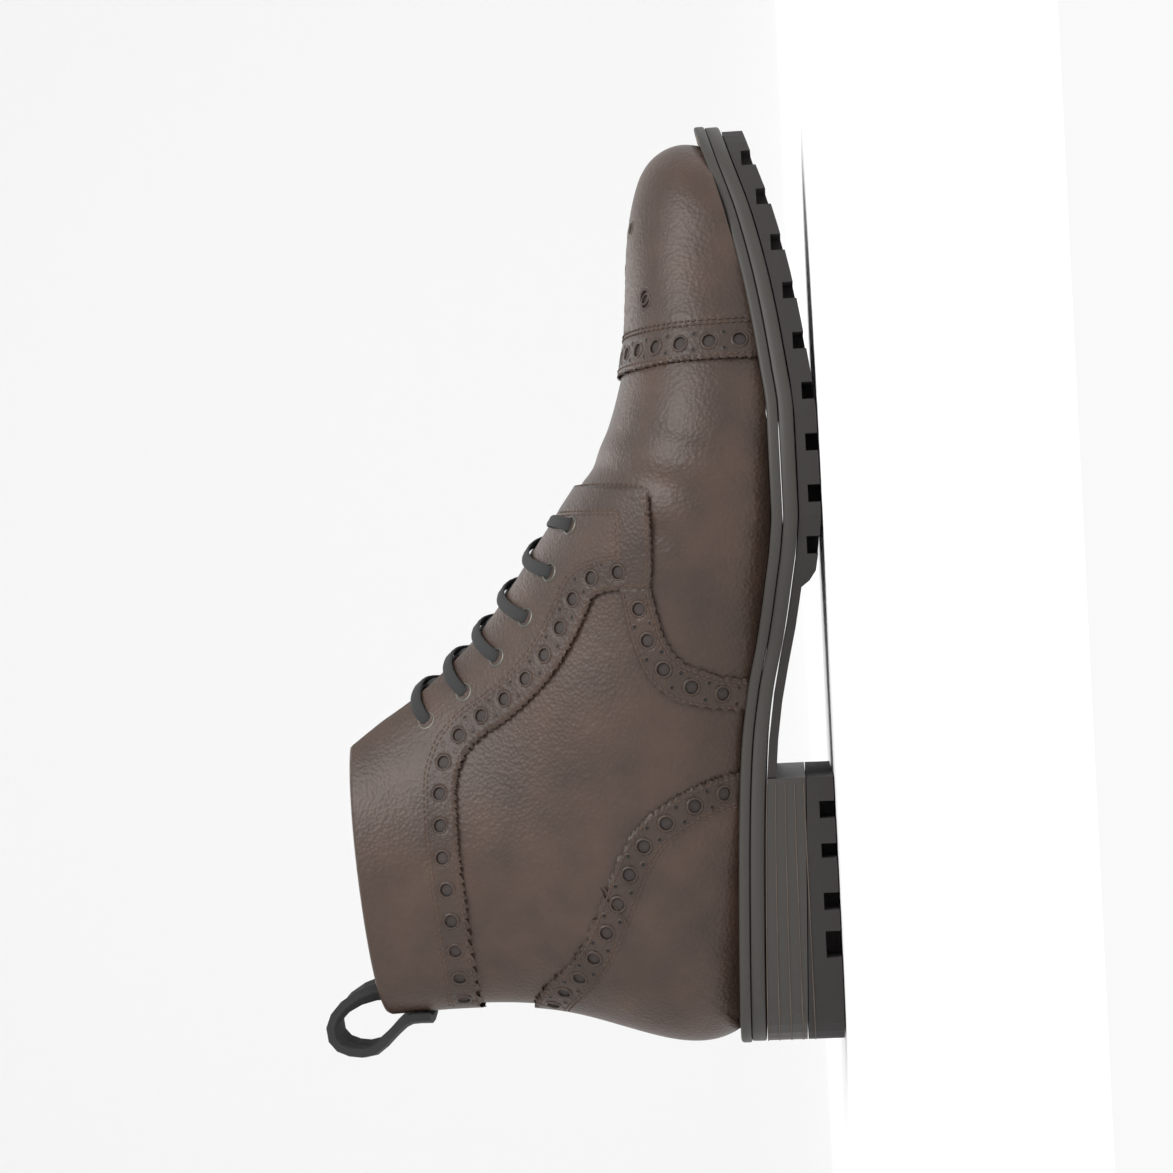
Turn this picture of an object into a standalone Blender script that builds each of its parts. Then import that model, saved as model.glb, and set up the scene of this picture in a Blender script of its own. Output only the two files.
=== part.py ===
"""Brogue ankle boot, the right one of a pair.

Frame: +X to the toe, +Y to the inner (medial) side, +Z up, metres. The origin is the middle of the
heel's tread, on the floor. All tables below hold shares of the named sizes, not lengths.
"""
import math

import bmesh
import bpy
import numpy as np
from mathutils import Vector

# Sole
SOLE_LENGTH = 0.3035
BALL_WIDTH = 0.1106
HEEL_TREAD = 0.0890
HEEL_LIFT = 0.0335
TOE_SPRING = 0.0200
WELT = 0.0034
WELT_WIDTH = 0.0110
MIDSOLE = 0.0048
RUBBER = 0.0032
LUG = 0.0038
TOP_PIECE_BACK = 0.0118
TOP_PIECE_FRONT = 0.0084
LUG_DEPTH_IN = 0.0150
LUG_GAP = 0.0054
HEEL_NOTCH = 0.0048
HEEL_NOTCH_IN = 0.0120
MIDSOLE_STEP = 0.0004
RUBBER_STEP = 0.0010
STACK_STEP = 0.0005

# Upper
SHAFT_RISE = 0.1265
WALL = 0.0020
OVERLAY = 0.0012
TONGUE = 0.0022
TONGUE_HALF = 0.0215
THROAT_HALF = 0.0095
INSOLE = 0.0030
CLEAR = 0.0003
FIT = 0.0006

# Eyelets, laces, pull loop
EYELET_RIM = 0.00365
EYELET_TUBE = 0.00265
EYELET_BORE = 0.00225
EYELET_RIM_THICK = 0.0007
LACE_WIDTH = 0.0040
LACE_THICK = 0.0016
LOOP_WIDTH = 0.0190
LOOP_THICK = 0.0026
LOOP_RISE = 0.0215

HEEL_BACK = -HEEL_TREAD / 2.0
BREAST = HEEL_TREAD / 2.0
LATERAL, MEDIAL = -1.0, 1.0

# Height of the welt's top: share of the length, of the heel's lift, of the toe spring
SEAT_COLUMNS = ("along", "heel", "toe")
SEAT = (
    (0.000, 1.000, 0.000),
    (0.147, 0.905, 0.000),
    (0.249, 0.822, 0.000),
    (0.324, 0.722, 0.000),
    (0.384, 0.567, 0.000),
    (0.440, 0.345, 0.000),
    (0.496, 0.165, 0.000),
    (0.535, 0.055, 0.000),
    (0.570, 0.000, 0.000),
    (0.670, 0.000, 0.000),
    (0.720, 0.000, 0.075),
    (0.796, 0.000, 0.230),
    (0.881, 0.000, 0.490),
    (0.957, 0.000, 0.830),
    (1.000, 0.000, 1.000),
)

# Plan of the sole: share of the length, then of the ball width to each side
PLAN_COLUMNS = ("along", "medial", "lateral")
PLAN = (
    (0.012, 0.172, 0.172),
    (0.035, 0.253, 0.253),
    (0.074, 0.303, 0.307),
    (0.133, 0.325, 0.330),
    (0.199, 0.324, 0.328),
    (0.265, 0.308, 0.318),
    (0.344, 0.285, 0.316),
    (0.417, 0.292, 0.356),
    (0.470, 0.335, 0.425),
    (0.512, 0.378, 0.482),
    (0.552, 0.411, 0.518),
    (0.595, 0.439, 0.531),
    (0.638, 0.461, 0.526),
    (0.680, 0.470, 0.502),
    (0.743, 0.454, 0.452),
    (0.789, 0.434, 0.410),
    (0.832, 0.407, 0.368),
    (0.875, 0.374, 0.318),
    (0.918, 0.331, 0.268),
    (0.957, 0.268, 0.198),
    (0.985, 0.182, 0.092),
)
TOE_TIP_SHIFT = 0.045

# Sections of the last, toe to collar. Each lies in a plane from a front point down to a back point.
# along and rise: share of the length, and of the shaft's rise over the welt. middle and the two
# half-widths: share of the ball width. widest: where on the plane. The last two: how square.
LAST_COLUMNS = ("front_along", "front_rise", "back_along", "back_rise", "middle",
                "lateral", "medial", "widest", "square_front", "square_back")
LAST = (
    (0.972, 0.003, 0.819, -0.075, 0.041, 0.350, 0.330, 0.88, 2.10, 2.20),
    (0.974, 0.062, 0.819, -0.112, 0.041, 0.350, 0.330, 0.80, 2.15, 2.20),
    (0.960, 0.134, 0.819, -0.122, 0.039, 0.352, 0.330, 0.73, 2.20, 2.20),
    (0.928, 0.198, 0.806, -0.146, 0.036, 0.358, 0.334, 0.67, 2.28, 2.20),
    (0.878, 0.258, 0.779, -0.168, 0.033, 0.374, 0.346, 0.63, 2.32, 2.20),
    (0.815, 0.302, 0.743, -0.173, 0.025, 0.406, 0.372, 0.60, 2.32, 2.25),
    (0.750, 0.343, 0.700, -0.173, 0.016, 0.444, 0.401, 0.57, 2.28, 2.30),
    (0.684, 0.406, 0.644, -0.169, 0.005, 0.472, 0.414, 0.55, 2.20, 2.30),
    (0.621, 0.485, 0.575, -0.169, 0.000, 0.474, 0.402, 0.54, 2.05, 2.20),
    (0.563, 0.587, 0.489, -0.181, 0.002, 0.444, 0.382, 0.54, 1.90, 2.00),
    (0.506, 0.670, 0.377, -0.190, 0.009, 0.402, 0.364, 0.54, 1.80, 1.75),
    (0.461, 0.739, 0.245, -0.161, 0.016, 0.389, 0.355, 0.55, 1.75, 1.80),
    (0.430, 0.803, 0.107, -0.113, 0.022, 0.372, 0.346, 0.57, 1.75, 2.15),
    (0.405, 0.861, 0.020, 0.002, 0.024, 0.346, 0.330, 0.58, 1.75, 2.15),
    (0.386, 0.913, 0.010, 0.187, 0.025, 0.312, 0.303, 0.57, 1.75, 2.10),
    (0.371, 0.962, 0.040, 0.435, 0.027, 0.271, 0.267, 0.55, 1.75, 2.15),
    (0.359, 0.997, 0.050, 0.689, 0.027, 0.240, 0.240, 0.53, 1.80, 2.20),
    (0.348, 1.031, 0.046, 0.924, 0.027, 0.222, 0.222, 0.52, 1.85, 2.20),
)
LAST_ROWS = len(LAST) - 1.0
TIP_ROW = 0.03
UPPER_OPEN_ROW = 8.5
OPENING_ROWS = 0.12

# Half of the throat's gap along the rows, as a share of THROAT_HALF
THROAT_COLUMNS = ("row", "half")
THROAT = (
    (9.0, 1.00),
    (11.0, 0.88),
    (13.0, 0.76),
    (15.0, 0.70),
    (16.0, 0.74),
    (17.0, 0.84),
)

# Rows of the solids, closer together where the form turns
MESH_ROWS = (
    TIP_ROW, 0.15, 0.40, 0.75, 1.15, 1.6, 2.1, 2.7, 3.4, 4.1, 4.8, 5.5, 6.2, 6.9, 7.5, 8.2, 9.0,
    9.7, 10.2, 10.6, 10.95, 11.3, 11.8, 12.2, 12.5, 12.72, 12.88, 13.5, 14.3, 15.1, 16.0, 17.0,
)
SIDE_COLUMNS = 8

# Outlines in the side view: share of the length, and of the shaft's rise over the welt
OUTLINE_COLUMNS = ("along", "rise")
CAP_EDGE = (
    (0.727, -0.100),
    (0.728, 0.000),
    (0.729, 0.120),
    (0.729, 0.220),
    (0.727, 0.310),
    (0.727, 0.400),
    (0.727, 0.500),
)
FACING_EDGE = (
    (0.613, 0.640),
    (0.612, 0.479),
    (0.610, 0.376),
    (0.603, 0.300),
    (0.564, 0.298),
    (0.523, 0.288),
    (0.497, 0.290),
    (0.497, 0.368),
    (0.491, 0.425),
    (0.475, 0.440),
    (0.444, 0.466),
    (0.414, 0.499),
    (0.389, 0.543),
    (0.364, 0.607),
    (0.343, 0.679),
    (0.322, 0.716),
    (0.294, 0.728),
    (0.241, 0.719),
    (0.188, 0.704),
    (0.134, 0.690),
    (0.088, 0.682),
    (0.000, 0.676),
    (-0.050, 0.676),
)
WING_FRONT = (
    (0.493, 0.279),
    (0.471, 0.260),
    (0.440, 0.224),
    (0.419, 0.175),
    (0.407, 0.107),
    (0.399, 0.031),
    (0.395, -0.060),
)
WING_REAR = (
    (0.493, 0.357),
    (0.462, 0.332),
    (0.421, 0.285),
    (0.389, 0.217),
    (0.372, 0.132),
    (0.365, 0.027),
    (0.362, -0.060),
)
COUNTER_EDGE = (
    (0.303, -0.100),
    (0.300, 0.007),
    (0.291, 0.096),
    (0.276, 0.170),
    (0.255, 0.242),
    (0.225, 0.291),
    (0.175, 0.342),
    (0.133, 0.385),
    (0.100, 0.440),
    (0.078, 0.496),
    (0.051, 0.540),
    (0.000, 0.556),
    (-0.050, 0.560),
)
EYELETS = (
    (0.566, 0.504),
    (0.518, 0.551),
    (0.471, 0.601),
    (0.430, 0.664),
    (0.394, 0.737),
    (0.365, 0.830),
)

# Middles of the side notches, as shares of the length
LUG_GAPS = (0.533, 0.585, 0.637, 0.690, 0.743, 0.797, 0.850, 0.902, 0.948)
LUG_START = 0.497
NOTCH_COLUMNS = ("from", "to")
HEEL_NOTCHES = (
    (0.249, 0.267),
    (0.208, 0.223),
    (0.154, 0.172),
    (0.104, 0.132),
)

# The pull loop's middle line: share of LOOP_RISE up from the collar's back, and of the same behind it
LOOP_COLUMNS = ("behind", "up")
LOOP_LINE = (
    (-0.200, 0.260),
    (-0.090, 0.620),
    (0.120, 0.880),
    (0.350, 0.950),
    (0.560, 0.820),
    (0.660, 0.560),
    (0.640, 0.290),
    (0.440, 0.050),
)
LOOP_INNER_END = 0.42
LOOP_OUTER_END = 0.62


def spline(knots, values):
    """A natural cubic through the values, as a function of arrays."""
    k = np.asarray(knots, float)
    v = np.asarray(values, float)
    n = len(k)
    h = np.diff(k)
    a = np.zeros((n, n))
    r = np.zeros(n)
    a[0, 0] = a[-1, -1] = 1.0
    for i in range(1, n - 1):
        a[i, i - 1:i + 2] = h[i - 1], 2.0 * (h[i - 1] + h[i]), h[i]
        r[i] = 6.0 * ((v[i + 1] - v[i]) / h[i] - (v[i] - v[i - 1]) / h[i - 1])
    m = np.linalg.solve(a, r)

    def at(x):
        x = np.asarray(x, float)
        i = np.clip(np.searchsorted(k, x) - 1, 0, n - 2)
        w = h[i]
        p = (k[i + 1] - x) / w
        q = (x - k[i]) / w
        bend = (p ** 3 - p) * m[i] + (q ** 3 - q) * m[i + 1]
        return p * v[i] + q * v[i + 1] + bend * w * w / 6.0
    return at


def steady(knots, values):
    """A curve through the values that never swings past them."""
    k = np.asarray(knots, float)
    v = np.asarray(values, float)
    h = np.diff(k)
    d = np.diff(v) / h
    m = np.zeros(len(k))
    for i in range(1, len(k) - 1):
        if d[i - 1] * d[i] > 0.0:
            a, b = 2.0 * h[i] + h[i - 1], h[i] + 2.0 * h[i - 1]
            m[i] = (a + b) / (a / d[i - 1] + b / d[i])
    m[0], m[-1] = d[0], d[-1]

    def at(x):
        x = np.clip(np.asarray(x, float), k[0], k[-1])
        i = np.clip(np.searchsorted(k, x) - 1, 0, len(k) - 2)
        t = (x - k[i]) / h[i]
        return (v[i] * (1 + 2 * t) * (1 - t) ** 2 + m[i] * h[i] * t * (1 - t) ** 2
                + v[i + 1] * t * t * (3 - 2 * t) + m[i + 1] * h[i] * t * t * (t - 1))
    return at


def column(table, index):
    """One column of a table."""
    return [row[index] for row in table]


def x_of(share):
    """Place along the boot of a share of its length."""
    return HEEL_BACK + np.asarray(share, float) * SOLE_LENGTH


STACK = WELT + MIDSOLE + RUBBER + LUG
SEAT_HEEL = steady(column(SEAT, 0), column(SEAT, 1))
SEAT_TOE = steady(column(SEAT, 0), column(SEAT, 2))


def seat(x):
    """Height of the welt's top."""
    t = (np.asarray(x, float) - HEEL_BACK) / SOLE_LENGTH
    return STACK + (HEEL_LIFT - STACK) * SEAT_HEEL(t) + TOE_SPRING * SEAT_TOE(t)


LAST_CURVES = [spline(range(len(LAST)), column(LAST, i)) for i in range(len(LAST_COLUMNS))]
THROAT_CURVE = steady(column(THROAT, 0), column(THROAT, 1))


def last(s):
    """Front point, back point, middle, half-widths, widest place and squareness at row s."""
    c = [curve(s) for curve in LAST_CURVES]
    fx, bx = x_of(c[0]), x_of(c[2])
    front = np.stack([fx, seat(fx) + c[1] * SHAFT_RISE], -1)
    back = np.stack([bx, seat(bx) + c[3] * SHAFT_RISE], -1)
    return front, back, c[4] * BALL_WIDTH, c[5] * BALL_WIDTH, c[6] * BALL_WIDTH, c[7], c[8], c[9]


def half_width(f, widest, n_front, n_back):
    """Share of the half-width at share f of the way down a section's plane."""
    up = np.clip(1.0 - f / widest, 0.0, 1.0)
    down = np.clip((f - widest) / (1.0 - widest), 0.0, 1.0)
    return np.where(f < widest, np.clip(1.0 - up ** n_front, 0, 1) ** (1.0 / n_front),
                    np.clip(1.0 - down ** n_back, 0, 1) ** (1.0 / n_back))


def share_down(w, widest, n_front):
    """Share down the plane at which the front part has share w of the half-width."""
    return widest * (1.0 - np.clip(1.0 - np.clip(w, 0.0, 1.0) ** n_front, 0, 1) ** (1.0 / n_front))


def feather(s):
    """Share down row s's plane at which the upper meets the welt, 1 where it never does."""
    front, back = last(s)[:2]
    f = np.linspace(0.0, 1.0, 801)
    x = front[0] + f * (back[0] - front[0])
    z = front[1] + f * (back[1] - front[1])
    below = np.nonzero(z - seat(x) - CLEAR < 0.0)[0]
    below = below[below > 0]
    if not len(below):
        return 1.0
    i = below[0]
    a = z[i - 1] - seat(x[i - 1]) - CLEAR
    b = z[i] - seat(x[i]) - CLEAR
    return float(f[i - 1] + (f[i] - f[i - 1]) * a / (a - b)) if a > 0.0 else float(f[i])


def heel_row():
    """The row whose plane meets the welt at the very back of the heel."""
    low, high = 12.0, 13.6
    for _ in range(40):
        mid = (low + high) / 2.0
        back = last(mid)[1]
        if back[1] < seat(back[0]) + CLEAR:
            low = mid
        else:
            high = mid
    return high


def throat_half(s, opens):
    """Half of the throat's gap at row s, for a throat that opens at the row given."""
    t = np.clip((s - opens) / OPENING_ROWS / 2.0, 0.0, 1.0)
    return THROAT_HALF * THROAT_CURVE(max(s, 9.0)) * math.sqrt(1.0 - (1.0 - t) ** 2)


def section(s, side, start_half, count):
    """Evenly spaced points down one side of row s, from the throat's edge to the welt or the back."""
    front, back, middle, lateral, medial, widest, n_front, n_back = last(s)
    width = lateral if side < 0 else medial
    f0 = share_down(start_half / width, widest, n_front)
    f1 = feather(s)
    turn = np.linspace(0.0, 1.0, 500)
    f = f0 + (f1 - f0) * (1.0 - np.cos(turn * math.pi * (0.5 if f1 < 0.999 else 1.0))) / (
        1.0 if f1 < 0.999 else 2.0)
    w = width * half_width(f, widest, n_front, n_back)
    w[0] = start_half
    points = np.stack([front[0] + f * (back[0] - front[0]), middle + side * w,
                       front[1] + f * (back[1] - front[1])], -1)
    length = np.concatenate([[0.0], np.cumsum(np.linalg.norm(np.diff(points, axis=0), axis=1))])
    want = np.linspace(0.0, length[-1], count + 1)
    return np.stack([np.interp(want, length, points[:, i]) for i in range(3)], -1)


def make_mesh(name, verts, faces):
    """A mesh object from plain lists, in the scene's collection."""
    mesh = bpy.data.meshes.new(name)
    mesh.from_pydata([tuple(v) for v in verts], [], faces)
    mesh.update()
    obj = bpy.data.objects.new(name, mesh)
    bpy.context.scene.collection.objects.link(obj)
    return obj


def tidy(obj):
    """Point the normals outwards and split faces that aren't flat."""
    bm = bmesh.new()
    bm.from_mesh(obj.data)
    bmesh.ops.remove_doubles(bm, verts=bm.verts, dist=0.000005)
    bmesh.ops.dissolve_degenerate(bm, dist=0.000005, edges=bm.edges)
    bmesh.ops.triangulate(bm, faces=bm.faces)
    bmesh.ops.recalc_face_normals(bm, faces=bm.faces)
    if bm.calc_volume(signed=True) < 0.0:
        bmesh.ops.reverse_faces(bm, faces=bm.faces)
    bm.to_mesh(obj.data)
    bm.free()
    return obj


def boolean(obj, cutter, operation):
    """Apply one exact Boolean and remove the cutter."""
    cutter.hide_render = True
    cutter.display_type = "WIRE"
    mod = obj.modifiers.new("cut", "BOOLEAN")
    mod.operation = operation
    mod.solver = "EXACT"
    mod.object = cutter
    graph = bpy.context.evaluated_depsgraph_get()
    mesh = bpy.data.meshes.new_from_object(obj.evaluated_get(graph))
    obj.modifiers.clear()
    old = obj.data
    obj.data = mesh
    bpy.data.meshes.remove(old)
    bpy.data.objects.remove(cutter)
    return tidy(obj)


def shell(name, low, high, opens):
    """The upper's form between two offsets from the last, as one closed solid.

    The grid runs in rows from the toe to the collar. Its two sides share the ridge in front of the
    throat and the line down the back behind the heel's row.
    """
    heel = heel_row()
    rows = set(MESH_ROWS) | {heel}
    rows |= {opens + OPENING_ROWS * k for k in (0.0, 0.2, 0.8, 2.0)}
    rows = sorted(rows)
    n = SIDE_COLUMNS
    verts, index = [], {}
    feather_verts, tip_verts = [], []
    for i, s in enumerate(rows):
        half = 0.0 if s <= opens + 1e-9 else throat_half(s, opens)
        for side in (LATERAL, MEDIAL):
            points = section(s, side, half, n)
            for j in range(n + 1):
                shared = (j == 0 and s <= opens + 1e-9) or (j == n and s >= heel - 1e-9)
                if shared and side == MEDIAL:
                    index[side, i, j] = index[LATERAL, i, j]
                    continue
                index[side, i, j] = len(verts)
                if j == n and s <= heel + 1e-9:
                    feather_verts.append(len(verts))
                if i == 0:
                    tip_verts.append(len(verts))
                verts.append(points[j])
    faces = []
    for i in range(len(rows) - 1):
        for side in (LATERAL, MEDIAL):
            for j in range(n):
                quad = [index[side, i, j], index[side, i + 1, j],
                        index[side, i + 1, j + 1], index[side, i, j + 1]]
                faces.append(quad if side < 0 else quad[::-1])
    on_seat = set(feather_verts) | set(tip_verts)
    verts = np.array(verts)
    for k in on_seat:
        verts[k, 2] = float(seat(verts[k, 0])) + CLEAR
    return thicken(name, verts, faces, low, high, on_seat)


def thicken(name, verts, faces, low, high, on_seat=()):
    """A closed solid between two offsets of an open sheet. Points on_seat stay on the welt."""
    sheet = make_mesh(name + "_sheet", verts, faces)
    bm = bmesh.new()
    bm.from_mesh(sheet.data)
    bm.normal_update()
    normals = np.array([v.normal[:] for v in bm.verts])
    edges = [(e.verts[0].index, e.verts[1].index, e.link_faces[0]) for e in bm.edges if e.is_boundary]
    rim = []
    for a, b, face in edges:
        loop = [v.index for v in face.verts]
        rim.append((a, b) if (loop.index(a) + 1) % len(loop) == loop.index(b) else (b, a))
    bm.free()
    bpy.data.objects.remove(sheet)
    centre = verts.mean(axis=0)
    if np.sum((verts - centre) * normals) < 0.0:
        normals = -normals
        faces = [f[::-1] for f in faces]
        rim = [(b, a) for a, b in rim]
    outer, inner = verts + normals * high, verts + normals * low
    for layer in (outer, inner) if on_seat else ():
        floor = seat(layer[:, 0]) + CLEAR
        layer[:, 2] = np.maximum(layer[:, 2], floor)
        fixed = list(on_seat)
        layer[fixed, 2] = floor[fixed]
    count = len(verts)
    solid = [tuple(f) for f in faces]
    solid += [tuple(v + count for v in f[::-1]) for f in faces]
    solid += [(b, a, a + count, b + count) for a, b in rim]
    return tidy(make_mesh(name, np.concatenate([outer, inner]), solid))


def side_point(along, rise):
    """Side-view place of a pair of shares."""
    x = x_of(along)
    return np.stack([x, seat(x) + np.asarray(rise, float) * SHAFT_RISE], -1)


def smooth_line(table, steps):
    """A smooth line through an outline's rows, in the side view."""
    points = side_point(column(table, 0), column(table, 1))
    knots = np.concatenate([[0.0], np.cumsum(np.linalg.norm(np.diff(points, axis=0), axis=1) ** 0.5)])
    fine = np.concatenate([np.linspace(a, b, steps, endpoint=False)
                           for a, b in zip(knots[:-1], knots[1:])] + [[knots[-1]]])
    return np.stack([steady(knots, points[:, 0])(fine), steady(knots, points[:, 1])(fine)], -1)


def prism(outline, y_from, y_to):
    """A solid from a side-view outline, between two planes across the boot."""
    n = len(outline)
    verts = [(x, y, z) for y in (y_from, y_to) for x, z in outline]
    faces = [tuple(range(n)), tuple(range(2 * n - 1, n - 1, -1))]
    faces += [(i, i + n, (i + 1) % n + n, (i + 1) % n) for i in range(n)]
    return tidy(make_mesh("cutter", verts, faces))


def find_row(x, z):
    """Row and share down its plane of a side-view place."""
    s = np.linspace(TIP_ROW, LAST_ROWS, 1400)
    front, back = last(s)[:2]
    run = back - front
    off = run[:, 0] * (z - front[:, 1]) - run[:, 1] * (x - front[:, 0])
    f = ((x - front[:, 0]) * run[:, 0] + (z - front[:, 1]) * run[:, 1]) / (run ** 2).sum(1)
    hit = [i for i in range(len(s) - 1) if off[i] * off[i + 1] <= 0.0 and -0.1 < f[i] < 1.1][0]
    t = off[hit] / (off[hit] - off[hit + 1])
    return s[hit] + t * (s[hit + 1] - s[hit]), f[hit] + t * (f[hit + 1] - f[hit])


def front_point(s, w, offset, round_off=0.0):
    """A point over the front of the last, w across from the ridge, at an offset along the normal."""
    def bare(s, w):
        front, back, middle, lateral, medial, widest, n_front, _ = last(s)
        width = lateral if w < 0 else medial
        f = share_down(math.hypot(w, round_off) / width, widest, n_front)
        p = front + f * (back - front)
        return np.array([p[0], middle + w, p[1]])
    step = 0.0004
    p = bare(s, w)
    across = bare(s, w + step) - bare(s, w - step)
    down = bare(s + 0.02, w) - bare(s - 0.02, w)
    normal = np.cross(across, down)
    normal /= np.linalg.norm(normal)
    if normal[2] < 0.0:
        normal = -normal
    return p + normal * offset, normal


def plan_loop():
    """The sole's outline in plan, as a dense loop of points from the heel's back round by the toe."""
    rows = [(x_of(a), -c * BALL_WIDTH) for a, b, c in PLAN]
    tip = [(x_of(1.0), TOE_TIP_SHIFT * BALL_WIDTH)]
    rows += tip + [(x_of(a), b * BALL_WIDTH) for a, b, c in reversed(PLAN)]
    rows.append((HEEL_BACK, 0.0))
    p = np.array(rows, float)
    p = np.roll(p, 1, axis=0)
    wrap = np.concatenate([p[-3:], p, p[:4]])
    knots = np.concatenate([[0.0], np.cumsum(np.linalg.norm(np.diff(wrap, axis=0), axis=1) ** 0.5)])
    fine = np.linspace(knots[3], knots[3 + len(p)], 720, endpoint=False)
    return np.stack([spline(knots, wrap[:, 0])(fine), spline(knots, wrap[:, 1])(fine)], -1)


def inset(loop, distance):
    """A closed loop moved inwards."""
    run = np.roll(loop, -1, axis=0) - np.roll(loop, 1, axis=0)
    run /= np.linalg.norm(run, axis=1)[:, None]
    normal = np.stack([-run[:, 1], run[:, 0]], -1)
    area = np.sum(loop[:, 0] * np.roll(loop[:, 1], -1) - loop[:, 1] * np.roll(loop[:, 0], -1))
    return loop + normal * distance * (1.0 if area > 0 else -1.0)


def edges_at(loop, x):
    """The loop's lateral and medial edge at places along the boot."""
    tail, tip = int(np.argmin(loop[:, 0])), int(np.argmax(loop[:, 0]))
    if tail > tip:
        tail, tip, loop = tip, tail, loop[::-1]
        tail, tip = int(np.argmin(loop[:, 0])), int(np.argmax(loop[:, 0]))
    one = loop[tail:tip + 1]
    two = np.concatenate([loop[tip:], loop[:tail + 1]])[::-1]
    a = np.interp(x, one[:, 0], one[:, 1])
    b = np.interp(x, two[:, 0], two[:, 1])
    return np.minimum(a, b), np.maximum(a, b)


def stations(loop, count, x_from=None, x_to=None):
    """Places along the boot, closer together at round ends."""
    low, high = loop[:, 0].min(), loop[:, 0].max()
    a = 0.17 if x_from is None else None
    b = 0.17 if x_to is None else None
    if a is not None and b is not None:
        turn = np.linspace(a, math.pi - b, count)
        return (low + high) / 2 - (high - low) / 2 * np.cos(turn)
    if a is not None:
        turn = np.linspace(a, math.pi / 2, count)
        return x_to - (x_to - low) * np.cos(turn)
    turn = np.linspace(math.pi / 2, math.pi - b, count)
    return x_from - (high - x_from) * np.cos(turn)


def slab(name, loop, x, top, bottom):
    """A layer of the sole: outline from a loop, top and bottom as functions of the place along."""
    low, high = edges_at(loop, x)
    z_top, z_bottom = top(x), bottom(x)
    verts = []
    for i in range(len(x)):
        verts += [(x[i], low[i], z_bottom[i]), (x[i], high[i], z_bottom[i]),
                  (x[i], high[i], z_top[i]), (x[i], low[i], z_top[i])]
    faces = [(0, 1, 2, 3)]
    for i in range(len(x) - 1):
        a, b = 4 * i, 4 * i + 4
        faces += [(a + k, b + k, b + (k + 1) % 4, a + (k + 1) % 4) for k in range(4)]
    last_ring = 4 * (len(x) - 1)
    faces.append((last_ring + 3, last_ring + 2, last_ring + 1, last_ring))
    return tidy(make_mesh(name, verts, faces))


def box(x0, x1, y0, y1, z0, z1):
    """Corners and faces of a box."""
    verts = [(x, y, z) for x in (x0, x1) for y in (y0, y1) for z in (z0, z1)]
    faces = [(0, 1, 3, 2), (4, 6, 7, 5), (0, 4, 5, 1), (2, 3, 7, 6), (0, 2, 6, 4), (1, 5, 7, 3)]
    return verts, faces


def joined(parts):
    """Several plain solids as one cutter mesh."""
    verts, faces = [], []
    for v, f in parts:
        base = len(verts)
        verts += list(v)
        faces += [tuple(k + base for k in face) for face in f]
    return tidy(make_mesh("cutter", verts, faces))


def welt_ring(loop):
    """The welt: a flat strip round the sole, under the upper's edge."""
    outer = loop[::9]
    inner = inset(loop, WELT_WIDTH)[::9]
    n = len(outer)
    verts = []
    for o, i in zip(outer, inner):
        zo, zi = float(seat(o[0])), float(seat(i[0]))
        verts += [(o[0], o[1], zo - WELT), (o[0], o[1], zo), (i[0], i[1], zi), (i[0], i[1], zi - WELT)]
    faces = []
    for k in range(n):
        a, b = 4 * k, 4 * ((k + 1) % n)
        faces += [(a + j, b + j, b + (j + 1) % 4, a + (j + 1) % 4) for j in range(4)]
    return tidy(make_mesh("welt", verts, faces))


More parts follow.
